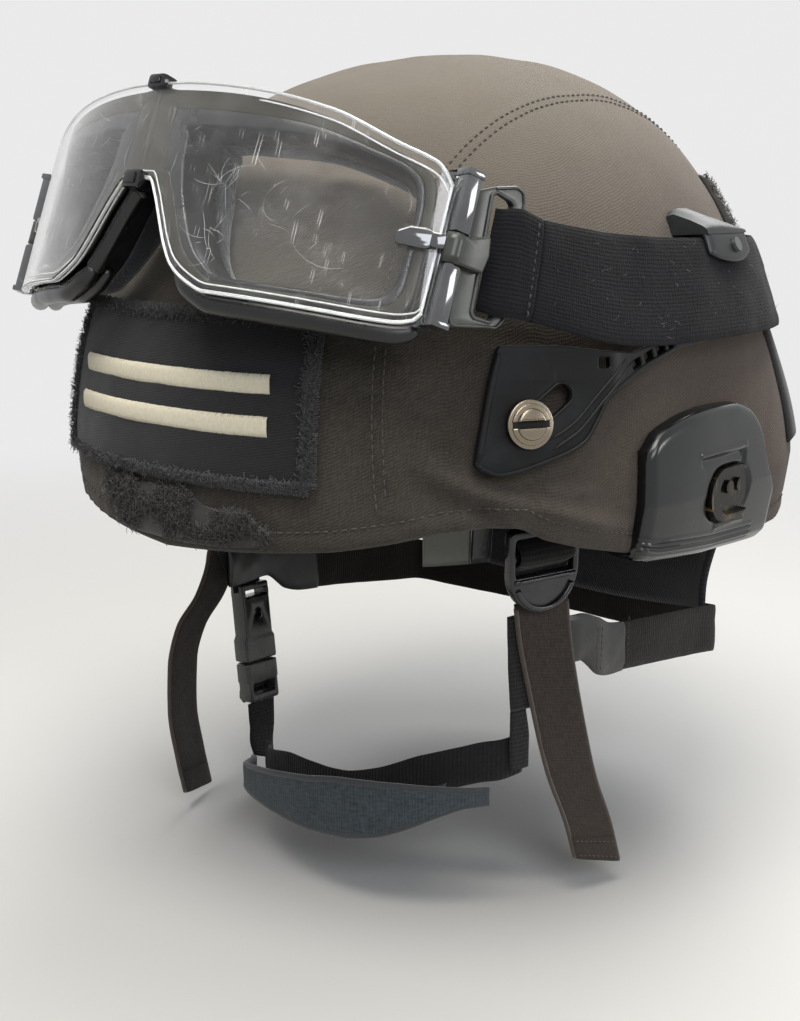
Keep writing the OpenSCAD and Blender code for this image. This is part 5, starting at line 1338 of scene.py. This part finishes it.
bracket_a = [[-9.6, 22.1], [-12.4, 13.1], [-18.4, -12.6], [-16.1, -14.9], [-10.2, -17.1], [5.2, -14.1],
             [19.2, -8.6], [24.7, -1], [28.4, 5], [32, 7.6], [44.5, 13.8], [62.1, 20], [92, 24],
             [112, 25.5], [112, 30.6], [92, 30], [62.1, 27], [51.5, 23], [39.5, 20], [31.5, 20.4],
             [27.1, 20.8], [11.6, 22.9], [-8.6, 23.6]]
turn_slot = np.array([[math.cos(slot_dir), math.sin(slot_dir)], [-math.sin(slot_dir), math.cos(slot_dir)]])
s = np.linspace(-np.pi / 2, np.pi / 2, 16)
half_end = np.stack([slot_l + bore_r * np.cos(s), bore_r * np.sin(s)], -1)
near_end = np.stack([-bore_r * np.cos(s), -bore_r * np.sin(s)], -1)
slot_ring = np.concatenate([half_end, near_end]) @ turn_slot + [0, -1]
windows = [slot_ring, corners([[25, 15.4], [28.6, 15.4], [28.6, 18.6], [25, 18.6]], 0.5)]
for x, y in ((41.2, 16.3), (47.6, 18.6), (54.0, 21.0), (60.2, 23.0)):
    cell = np.array([[-2.3, -1.4], [2.3, -1.4], [2.3, 1.4], [-2.3, 1.4]])
    lean = math.radians(21)
    cell = cell @ np.array([[math.cos(lean), math.sin(lean)], [-math.sin(lean), math.cos(lean)]])
    windows.append(corners(cell + [x, y], 0.5))
anodised = worn("anodised_black", "#090a0b", "#33373a", 0.46, grain=0.0012, bump=0.00002, scuff=0.22,
                gloss_spread=0.08, Specular_IOR_Level=0.2)
for side, node in ((1, "left_bracket"), (-1, "right_bracket")):

    def put(q):
        """From the unfolded bracket to this side."""
        return at_hub(q, side)

    parts = [plate("plate", corners(bracket_a, 1.6), windows, plate_lo, plate_top, put, 0.55,
                   cuts=[*np.arange(24, 70, 1.0), *np.arange(72, 112, 6.0)])]
    for path, r in (([[-9.0, 21.5], [-11.6, 12.9], [-17.4, -12.2]], 1.1),
                    ([[-17.4, -12.4], [-15.4, -14.1], [-10.2, -16.1], [5.0, -13.1], [18.7, -7.8],
                      [24.0, -0.5], [28.0, 6.0], [32, 8.8], [44.3, 15.0], [62, 21.2]], 0.75),
                    ([[8.0, -9.4], [17, -4.2], [25.4, 4.2], [33, 11.6], [39.5, 17.4]], 0.7),
                    ([[7.0, -6.4], [15.4, -1.6], [23.2, 6.0], [30.6, 13.2], [35.5, 18.0]], 0.6)):
        q = lifted(np.asarray(path, float), plate_top - 0.1)
        at = run_of(q)
        s = np.linspace(0, at[-1], 60)
        q = smooth_line(q, at, s)
        fade = np.minimum(np.minimum(s, at[-1] - s) / 3, 1) ** 0.5
        parts.append(tube("rib", put(q), np.maximum(r * fade, 0.15), 10, up=flip(hub_n, side)))
    ring = between(slot_ring.mean(0), slot_ring, 1.07)
    parts.append(tube("slot_lip", put(lifted(ring, plate_top)), 0.5, 8, closed=True, up=flip(hub_n, side)))
    piece(node, joined(node, parts), anodised, node + "_body", node)
dress("bracket_inserts", worn("zinc_plate_dull", "#77756c", "#a5a294", 0.4, Metallic=0.9))

# Bracket screws
# Nickel-plated slotted screws: a broad flange, a smaller step and a domed top cut by the slot.
# The plating is scratched where screwdrivers have slipped.
# Painted shade: a flat black strip laid in the bottom of each screw slot stands for the shade in the deep
# slot
slot_shade_black = shader("painted_shade_black", "#050505", 0.9)[0]
nickel = worn("nickel_plate_worn", "#857b6c", "#b9b0a4", 0.28, grain=0.0016, bump=0.00002, scuff=0.5,
              Metallic=1.0)
base, flange_r, flange_t, slot_half = plate_top + 0.3, 7.75, 1.7, 0.9
for side, node in ((1, "left_screw"), (-1, "right_screw")):
    body = node + "_body"

    def put(q):
        """From points about the screw's axis, which is z, to this side."""
        return flip(hub + q[:, :1] * hub_x + (q[:, 1:2] - 1) * hub_y + q[:, 2:] * hub_n, side)

    shank = np.array([[0, 0, -9.0], [0, 0, 0], [0, 0, base + 0.5]])
    parts = [plate("flange", disc(0, 0, flange_r, 64), [], base, base + flange_t, put, 0.45),
             tube("shank", put(shank), 2.9, 20, up=hub_x)]
    for up in (1, -1):
        for r, top, edge in ((6.5, 2.4, 0.5), (5.0, 3.4, 0.9)):
            from_slot = math.asin(slot_half / r)
            s = np.linspace(from_slot, math.pi - from_slot, 28)
            half = np.stack([r * np.cos(s), up * r * np.sin(s)], -1)
            parts.append(plate("step", half, [], base + 1.2, base + top, put, edge))
    piece(node, joined(node, parts), nickel, body, node)
    # The strip of painted shade in the slot
    painted_shade = box("slot_painted_shade", (12.4, 1.9, 0.4), lambda q: put(q + [0, 0, base + 1.8]), 0.1)
    piece(node + "_slot", painted_shade, slot_shade_black, body, slot=slot_of[node])

# Harness webs and ladder locks
# Ribbed nylon webbing bolted inside the wall comes down on each side behind a moulded ladder
# lock and folds over its middle bar. The lock ends below in a half-round lifting lip.
lock_p = np.array([44.0, 87.5, -8.0])
lock_yaw = math.radians(75)
lock_f = np.array([math.sin(lock_yaw), -math.cos(lock_yaw), 0])
lock_d = np.array([math.cos(lock_yaw), math.sin(lock_yaw), 0])
web_w, web_t, lock_t, lock_w, lock_h = 25.0, 1.6, 4.0, 31.0, 31.0
behind_lock = lock_t / 2 + 0.4 + web_t / 2
lock_hi, lock_lo = lock_p[2] + lock_h / 2, lock_p[2] - lock_h / 2
shell_in = -11.1


def lk(x, z, h):
    """Point by the left lock: x mm forward along it, at height z and h outward from its middle."""
    x, z, h = np.broadcast_arrays(np.asarray(x, float), np.asarray(z, float), np.asarray(h, float))
    flat = np.array([lock_p[0], lock_p[1], 0.0])
    return flat + x[..., None] * lock_f + h[..., None] * lock_d + z[..., None] * np.array([0, 0, 1.0])


def lock_line(*stations):
    """Stations of a strap by the left lock, each given as x, z, x, z of its two edges and h."""
    return [(lk(x0, z0, h), lk(x1, z1, h)) for x0, z0, x1, z1, h in stations]


webbing = woven("webbing_black_ribbed", "#111112", "#2a2827", "#2b2928", 0.0017, slant=90.0, sheen=0.15,
                bump=0.0003, slub=0.5, fade=0.4)
lock_nylon = worn("lock_nylon_black", "#16181a", "#54585b", 0.26, grain=0.0018, bump=0.00002, scuff=0.3)
web_h, lock_r, arc_z = web_w / 2, lock_w / 2, 4.0
root = ((36, 36, shell_in - 1.1), (28, 26, -13.9), (21, 18, -15.4))
line = [(dome(57, z0, o), dome(69.5, z1, o)) for z0, z1, o in root]
line += lock_line((web_h + 1, lock_hi + 6.5, -web_h + 1, lock_hi + 6, 6),
                  (web_h, lock_hi + 3, -web_h, lock_hi + 3, -behind_lock),
                  (web_h, lock_p[2] - 5, -web_h, lock_p[2] - 5, -behind_lock))
over_z = lock_p[2] + np.array([13.5, 11.2, 9.8, 8.2, 6.1, 4.2, 2.6, 0.8, -1])
over_h = [-1.9, -1.2, 1.4, 3.1, 3.6, 3.1, 1.2, -1.4, -1.9]
over = lock_line(*((12.2, z, -12.2, z, h) for z, h in zip(over_z, over_h)))
for side, word in ((1, "left"), (-1, "right")):
    parts = [web("web", both_edges(q, side), web_t, slack=0.12, seed=k) for k, q in enumerate((line, over))]
    node = word + "_harness_web"
    piece(node, joined(node, parts), webbing, "helmet", node)
    s = np.radians(np.linspace(180, 360, 30))
    arc_low = np.stack([lock_r * np.cos(s), lock_r * np.sin(s)], -1)
    top = corners([[lock_r, lock_r], [-lock_r, lock_r], [-lock_r, arc_z], [lock_r, arc_z]], 2.4)[:10]
    outline = np.concatenate([[[-lock_r, arc_z]], arc_low, [[lock_r, arc_z]], top])
    holes = [corners([[-13.1, 7.7], [13.1, 7.7], [13.1, 12.3], [-13.1, 12.3]], 1.2),
             corners([[-13.1, -1.3], [13.1, -1.3], [13.1, 4.5], [-13.1, 4.5]], 1.2)]

    def put(q):
        """From the flat lock, x forward, y up and z out, to this side."""
        return flip(lk(q[:, 0], lock_p[2] + q[:, 1], q[:, 2]), side)

    lip = np.radians(np.linspace(205, 335, 30))
    lip_line = np.stack([13.6 * np.cos(lip), 13.9 * np.sin(lip), np.full(30, lock_t / 2)], -1)
    parts = [plate("lock", outline, holes, -lock_t / 2, lock_t / 2, put, 0.7),
             tube("lip", put(lip_line), 1.2, 10, up=flip(lock_d, side))]
    for name, half, z, h, r, cols in (("bar", 13.4, 6.1, 0.4, 1.5, 12),
                                      ("shoulder", 13.6, -2.9, 1.7, 1.0, 10)):
        run = np.array([[x, z, h] for x in np.linspace(-half, half, 9)])
        parts.append(tube(name, put(run), r, cols, up=flip(lock_d, side)))
    node = word + "_ladder_lock"
    piece(node, joined(node, parts), lock_nylon, "helmet", node)
dress("harness_bolts", worn("bolt_black_oxide", "#1d1e1f", "#6a6b6c", 0.35, Metallic=0.7))

# Nape strap
# Brown ribbed webbing that holds the nape pad, sewn at each side into a folded leather-like
# sleeve behind the lock.
nape_brown = woven("webbing_brown_ribbed", "#110f0d", "#241f1b", "#26211d", 0.0015, slant=90.0,
                   sheen=0.15, bump=0.00025, slub=0.65, fade=0.6)
sleeve_hide = worn("sleeve_hide_black", "#0c0c0c", "#2b2c2e", 0.42, grain=0.0012, bump=0.00012, scuff=0.3)
chin_h = -behind_lock - web_t - 0.5
join_t = web_t + 1.4
join_h = chin_h - web_t / 2 - 0.6 - join_t / 2
parts, rows = [], []
for side in (1, -1):
    line = lock_line((3, -48, 3, -30, join_h), (-12, -49.4, -12, -30.8, join_h),
                     (-26, -50, -26, -31.5, join_h))
    line += [((4, 86.6, -59), (5, 86.6, -35.5)), ((-5, 86, -61.7), (-4, 86, -40)),
             ((-16, 85.4, -63), (-15, 85.4, -42.5))]
    parts.append(web("sleeve", both_edges(line, side), join_t, slack=0.5, seed=14, round_edge=3.0))
    for x in (5.5, -13.5):
        sewn = np.stack([np.full(14, x - 0.5), np.full(14, 88.4), np.linspace(-57, -39, 14)], -1)
        rows.append(stitches("row", flip(sewn, side), np.tile([0.0, side, 0.0], (14, 1)), 2.6, 1.9, 0.45))
piece("nape_junction", joined("nape_junction", parts), sleeve_hide, "helmet", "nape_junction")
piece("nape_junction_seams", joined("nape_junction_seams", rows), cover_thread, "helmet",
      slot=slot_of["nape_junction"])
line = [((-12.6, 85.3, -62.0), (-11.6, 85.3, -42.6)), ((-42, 86, -66.5), (-42, 86, -46)),
        ((-70, 85, -71), (-70, 85, -50))]
nape_o = hem_in + 0.6 + web_t / 2
line += [(dome(b, lo, nape_o - nape(b, 0)), dome(b, hi, nape_o - nape(b, 0))) for b, lo, hi in
         ((136, -74, -53), (144, -78, -57.5), (153, -82, -62), (163, -84.5, -64.5), (172, -86, -66))]
line += both_edges(line[::-1], -1)
piece("nape_strap", web("nape_strap", line, web_t, per=7, slack=0.5, seed=3), nape_brown, "helmet",
      "nape_strap")

# Pads and headband
# Foam pads in black knit stuck inside the shell, a padded nape piece, and a headband of pale
# grey leather with black ends that hangs from the front pad.
knit_black = woven("pad_knit_black", "#17181a", "#2d2e31", "#2a2b2e", 0.0012, slant=30.0, sheen=0.4,
                   bump=0.0003, slub=0.3)
pad_o = shell_in - 0.9


def cushion(name, b0, b1, z0, z1, o, thick):
    """Foam pad against the wall: crowned in both directions, with a seam line round its side."""
    u, v = grid(0, 1, 48, 0, 1, 30)
    a, z = b0 + (b1 - b0) * u, z0 + (z1 - z0) * v
    crown = (1 - abs(2 * u - 1) ** 4) ** 0.5 * (1 - abs(2 * v - 1) ** 4) ** 0.5
    full = thick * (0.35 + 0.65 * crown)
    groove = 0.9 * np.exp(-((np.minimum(np.minimum(u, 1 - u), np.minimum(v, 1 - v)) - 0.07) / 0.02) ** 2)
    puff = 0.4 * ripple(dome(a, z, 0), 21, 30)
    return slab(name, dome(a, z, o - full + groove + puff * crown), dome(a, z, o),
                np.stack([u * 0.1, v * 0.08], -1))


pad_thick = 17.6
for node, b0, b1, z0, z1, thick in (("front_pad", -28, 28, 26, 71, 25.7),
                                    ("rear_pad", 150, 210, 17, 72, pad_thick),
                                    ("left_side_pad", 76, 110, 25, 74, pad_thick),
                                    ("right_side_pad", -110, -76, 25, 74, pad_thick)):
    pad = piece(node, cushion(node, b0, b1, z0, z1, pad_o, thick), knit_black, "helmet", node)
a, s = np.meshgrid(np.arange(60) * 6.0, np.linspace(0, 1, 16))
ring_z = crown_z - 27 + 12 * s
above = dome(a, ring_z, pad_o)
under = above - np.array([0, 0, 1.0]) * (pad_thick * (0.35 + 0.65 * np.sin(s * np.pi / 2)))[..., None]
pole = np.array([-crown_back, 0, crown_z + pad_o]) + 0 * above[-1:]
both = np.concatenate([pole, above[::-1], under, pole - [0, 0, pad_thick]])
mesh = surface("crown_pad", both, wrap=True)
crown_pad = piece("crown_pad", tidy(mesh, merge=1e-6), knit_black, "helmet", "crown_pad")
u, v = grid(0, 1, 60, 0, 1, 24)
a = 140 + 80 * u
z = -57 - 15 * np.cos(np.radians((a - 180) * 90 / 40)) * (1 - v) + 73 * v
crown = np.sin(np.pi * v) * abs(np.sin(np.pi * u))
channel = 0.7 * np.exp(-((v * 5) % 1 - 0.5) ** 2 / 0.004) * (crown > 0.1)
hung = hem_in - 0.6 - nape(a, 0) * ease(-z / 50)
mesh = slab("nape_pad", dome(a, z, hung), dome(a, z, hung - 6 * (0.45 + 0.55 * crown) + channel),
            np.stack([u * 0.16, v * 0.08], -1))
nape_pad = piece("nape_pad", mesh, knit_black, "helmet", "nape_pad")
hide_grey = worn("headband_leather_grey", "#54564f", "#8b8c86", 0.45, grain=0.0011, bump=0.00015, scuff=0.4)
hide_black = worn("headband_leather_black", "#131415", "#3f4142", 0.4, grain=0.0011, bump=0.00015)
band_o = hem_in - 24.0
pale, dark = [], []
for b0, b1, z0, z1, out_list in ((-38, 38, 10, 40, pale), (38, 48.2, -6, 24, pale),
                                 (-48.2, -38, -6, 24, pale), (48.4, 53, -6, 24, dark),
                                 (-53, -48.4, -6, 24, dark)):
    u, v = grid(b0, b1, 30, z0, z1, 12)
    edge = pillow((u - b0) / (b1 - b0), (v - z0) / (z1 - z0), (0.06, 0.12))
    out_list.append(slab("band", dome(u, v, band_o - 1.4 + 1.4 * edge),
                         dome(u, v, band_o - 4 + 0.8 * (1 - edge)), np.stack([u * 0.0018, v * MM], -1)))
piece("headband", joined("headband", pale), hide_grey, "helmet", "headband")
piece("headband_ends", joined("headband_ends", dark), hide_black, "helmet", slot="headband leather")

# Webbing tails
# The long free ends below the locks. Each is bound along both edges in a lighter yarn and
# folded up and sewn at its end.
tail_brown = woven("tail_webbing_brown", "#26211d", "#443c36", "#473e37", 0.0013, slant=90.0, sheen=0.12,
                   bump=0.00018, slub=0.75, fade=0.5)
tail_edge = thread("tail_binding_brown", "#302924", "#51473f")
tail_top = lock_lo + 3
left_edges = ((9.5, tail_top, -14.8, tail_top), (7.4, -34, -17.3, -38), (2.7, -53, -21.6, -58),
              (-3.2, -75, -27.4, -80.5), (-8, -90, -32, -96), (-17.4, -112, -41, -118),
              (-22.6, -128, -46.6, -136))
left_line = lock_line(*((*edges, -behind_lock) for edges in left_edges))
right_edges = ((9.5, tail_top, -14.8, tail_top, 0), (9.6, lock_lo - 1.5, -14.8, lock_lo - 1.5, 0),
               (10, -34, -14.6, -37, 2.5), (17, -49, -7, -54, 5), (30, -60, 6, -66, 7),
               (36, -76, 11.6, -80, 8.2), (37, -96, 12.6, -100, 8.6), (33, -120, 8.6, -124, 8.2),
               (29, -137, 4.6, -142, 7.4))
right_line = [(flip(lk(a, z0, -behind_lock + h * 0.6), -1), flip(lk(b, z1, -behind_lock + h), -1))
              for a, z0, b, z1, h in right_edges]
sew = np.linspace(0.05, 0.95, 12)[:, None]
for side, node, line in ((1, "left_tail", left_line), (-1, "right_tail", right_line)):
    body = node + "_body"
    st = np.asarray(line)
    at = run_of(st.mean(1))
    s = np.linspace(at[-1] - 11, at[-1] + 0.3, 6)
    hem = list(zip(smooth_line(st[:, 0], at, s), smooth_line(st[:, 1], at, s)))
    parts = [web(node, line, web_t, slack=0.35, seed=5), web("hem", hem, web_t + 1.5)]
    piece(node, joined(node, parts), tail_brown, body, node)
    s = np.linspace(2, at[-1] - 0.5, 90)
    a, b = smooth_line(st[:, 0], at, s), smooth_line(st[:, 1], at, s)
    across = unit(b - a) * 0.5
    bound = [tube("edge", q, 0.85, 8, up=lock_d) for q in (a + across, b - across)]
    face = unit(np.cross(st[-1, 0] - st[-2, 0], st[-1, 1] - st[-1, 0]))
    face = face * np.sign(face @ flip(lock_d, side))
    for back_by in (2.2, 9.4):
        s = np.array([at[-1] - back_by])
        row = between(smooth_line(st[:, 0], at, s), smooth_line(st[:, 1], at, s), sew) + face * 1.45
        bound.append(stitches("row", row, np.tile(face, (12, 1)), 2.4, 1.8, 0.45))
    piece(node + "_binding", joined(node + "_binding", bound), tail_edge, body, slot=slot_of[node])

# Chin strap
# Flat webs from the left lock and the buckle meet in two bands under the chin: a bound front
# band and a lower one, with a thin leather cup sewn between them.
cup_y, cup_w = 12.0, 74.0
band_web = woven("chin_webbing_black", "#262d31", "#4f585d", "#545d62", 0.0013, slant=90.0, sheen=0.15,
                 bump=0.00015, slub=0.75, fade=0.4)
cup_hide = worn("chin_cup_hide", "#30373a", "#666f72", 0.38, grain=0.0012, bump=0.00012)
front_hi = ([-70, -54, -36, -14, 8, 28, 45, 60, 78],
            [-126, -118, -109, -102, -96.6, -92, -90.2, -89.4, -89.8])
front_lo = ([-70, -54, -36, -14, 12, 28, 45, 60, 72, 78],
            [-132, -126.5, -121.5, -118, -117, -115.3, -111, -103, -96.8, -96])
under_hi = ([-71, -60, -40, -17, 3, 27, 47, 68.5, 75.5, 80],
            [-122, -118, -110, -103.5, -102, -95, -85, -76.4, -74, -72])


def bow(y, deep, x0):
    """How far forward a chin band runs at y: an ellipse over the cup's width, deep at its middle."""
    return x0 + deep * np.sqrt(np.maximum(1 - ((y - cup_y) / cup_w) ** 2, 0))


def front_station(y, behind_by=0.0, low_by=0.0):
    """Lower and upper edge of the front band at y, from its two smooth lines of heights."""
    x = bow(y, 52, 35) - behind_by
    return (x, y, smooth(y, *front_lo) + low_by), (x, y, smooth(y, *front_hi))


def under_station(y, ahead_by=0.0, low_by=0.0):
    """Lower and upper edge of the band under the chin at y, one width apart."""
    x, high = bow(y, 36, 30) + ahead_by, smooth(y, *under_hi)
    return (x, y, high - under_h + low_by), (x, y, high)


fold_z, band_t, under_h = -62.0, web_t + 0.6, 16.0
root_in = chin_h - web_t - 0.35
line = lock_line((8.5, fold_z + 0.2, -14, fold_z + 0.2, chin_h), (10, -44, -15, -44, chin_h),
                 (11, lock_lo - 2, -14, lock_lo - 2, chin_h))
piece("left_chin_web", web("left_chin_web", line, web_t, slack=0.25), webbing, "helmet", "left_chin_web")
line = lock_line((8.5, fold_z - 0.2, 1.4, fold_z - 0.2, chin_h), (8.5, -74, -0.4, -74, chin_h),
                 (8, -85, -0.4, -85, chin_h))
piece("chin_root", web("chin_root", line, web_t), webbing, "chin_strap", "chin_root")
line = [front_station(y) for y in (77.5, 72, 64, 54, 42, 28, 10, -8, -26, -42, -54)]
line += [((46.4, -64, -130.0), (46.4, -64, -123.6)), ((41.6, -69.6, -132.0), (41.6, -69.6, -126.0))]
piece("front_chin_band", web("front_chin_band", line, band_t, per=9, slack=0.4, seed=6), band_web,
      "chin_strap", "front_chin_band")
st, s = np.asarray(line, float), np.linspace(0, len(line) - 1, 90)
bind = []
for e, shift in ((1, -0.7), (0, 0.7)):
    edge = smooth_line(st[:, e], np.arange(len(line)), s) + [0, 0, shift]
    bind.append(tube("binding", edge, 1.25, 8, up=(0.3, 0, 1)))
piece("chin_binding", joined("chin_binding", bind), thread("chin_binding_grey", "#1d1f21", "#3c3f42"),
      "chin_strap", slot=slot_of["front_chin_band"])
line = [(lk(1.2, -88, root_in), lk(1.2, -72, root_in)), ((49.2, 76.4, -90), (49.2, 76.4, -74))]
line += [under_station(y) for y in (68.5, 58, 47, 27, 10, -8, -24, -40, -54)]
line += [((36.6, -63, -135.6), (36.6, -63, -119.4)), ((32.4, -70.4, -138), (32.4, -70.4, -122))]
piece("under_chin_band", web("under_chin_band", line, web_t, per=9, slack=0.4, seed=7), webbing,
      "chin_strap", "under_chin_band")
line = [(front_station(y, band_t / 2 + 0.9, 2)[0], under_station(y, web_t / 2 + 0.4, 2.5)[0])
        for y in np.linspace(58, -48, 12)]
piece("chin_cup", web("chin_cup", line, 1.2, slack=0.5, seed=12), cup_hide, "chin_strap", "chin_cup")

# Side-release buckle
# Black nylon buckle on the right: the upper half is fixed to the web from the lock, and the
# lower half's sprung prongs show at its waist. The lower web wraps round its bar.
buckle_p = np.array([24.8, -82.8, -107.0])
lean, roll = math.radians(7.8), math.radians(-1.6)
buckle_w, buckle_t, female_l, male_l = 18.0, 10.0, 36.0, 19.0
turn_x = np.array([[1, 0, 0], [0, math.cos(lean), -math.sin(lean)], [0, math.sin(lean), math.cos(lean)]])
turn_y = np.array([[math.cos(roll), 0, math.sin(roll)], [0, 1, 0], [-math.sin(roll), 0, math.cos(roll)]])


def at_buckle(q):
    """From x across, y up and z outward (away from the neck) to the frame."""
    local = np.stack([q[:, 0], -q[:, 2], q[:, 1]], -1)
    return buckle_p + local @ (turn_x @ turn_y).T


def in_buckle(name, size, x, y, bevel):
    """Box in the buckle's middle plane, x across and y up it."""
    return box(name, size, lambda q: at_buckle(np.stack([q[:, 0] + x, q[:, 2] + y, q[:, 1]], -1)), bevel)


buckle_nylon = worn("buckle_nylon_olive_black", "#1b1d1b", "#777b74", 0.24, grain=0.0018, bump=0.00002,
                    scuff=0.35)
half = buckle_w / 2
low = [[-half + 0.6, 0], [half - 0.6, 0], [half - 0.6, male_l - 0.5], [-half + 0.6, male_l - 0.5]]
parts = [plate("body", corners(low, 1.6), [corners([[-6.5, 4], [6.5, 4], [6.5, 8.5], [-6.5, 8.5]], 0.8)],
               -buckle_t / 2 + 0.6, buckle_t / 2 - 0.6, at_buckle, 0.9),
         in_buckle("tongue", (10, 2.6, 14), 0, male_l + 5, 0.5)]
for s in (1, -1):
    parts.append(in_buckle("prong", (2.6, buckle_t - 2.6, 9.0), s * (half - 1.0), male_l - 5.4, 0.8))
for x in (-4.5, 0, 4.5):
    line = np.array([[x, y, buckle_t / 2 - 0.75] for y in np.linspace(10.4, 16.4, 6)])
    parts.append(tube("rib", at_buckle(line), 0.55, 8, up=(0, 1, 0)))
piece("buckle_male", joined("buckle_male", parts), buckle_nylon, "chin_strap", "buckle_male")
high = [[-half, male_l], [half, male_l], [half, male_l + 10], [half - 1.2, male_l + 12],
        [half - 1.2, male_l + female_l], [-half + 1.2, male_l + female_l], [-half + 1.2, male_l + 12],
        [-half, male_l + 10]]
top = male_l + female_l
holes = [corners([[-6.5, top - 6], [6.5, top - 6], [6.5, top - 3], [-6.5, top - 3]], 0.6),
         disc(0, male_l + 22, 2.0, 24)]
parts = [plate("body", corners(high, 1.3), holes, -buckle_t / 2 + 0.5, buckle_t / 2 - 0.5, at_buckle, 0.9)]
for y in (male_l + 3, male_l + 6.4, male_l + 14):
    line = np.array([[x, y, buckle_t / 2 - 0.6] for x in np.linspace(-6.4, 6.4, 6)])
    parts.append(tube("rib", at_buckle(line), 0.6, 8, up=(0, 1, 0)))
piece("buckle_female", joined("buckle_female", parts), buckle_nylon, "helmet", "buckle_female")
tip_x, tip_y, tip_z = buckle_p + np.array([0, -top * math.sin(lean), top * math.cos(lean)])
line = [((tip_x + 8, tip_y + y, tip_z + z), (tip_x - 8, tip_y + y, tip_z + z))
        for y, z in ((0.6, -3.4), (0, 0.6))]
line += [((43, -84, -41), (19, -88.6, -41))]
line += both_edges(lock_line((11, lock_lo - 2, -14, lock_lo - 2, chin_h - 0.5)), -1)
piece("right_chin_web", web("right_chin_web", line, web_t, slack=0.2), webbing, "helmet", "right_chin_web")
z = buckle_p[2] - 0.5
line = [((33, -82.3, z), (16.6, -82.3, z)), ((34, -80.2, -117), (17.6, -81.4, -119)),
        ((37.4, -76.2, -123), (21.4, -78.4, -127)), ((39, -72.2, -127), (25, -74.2, -134))]
wrap = [at_buckle(np.array([[7.6, y, h], [-7.6, y, h]]))
        for y, h in ((-0.4, 3.2), (2.0, 5.3), (4.6, 5.0), (6.2, 2.0))]
parts = [web("web", line, web_t, slack=0.2), web("wrap", wrap, 1.3)]
piece("buckle_web", joined("buckle_web", parts), webbing, "chin_strap", "buckle_web")
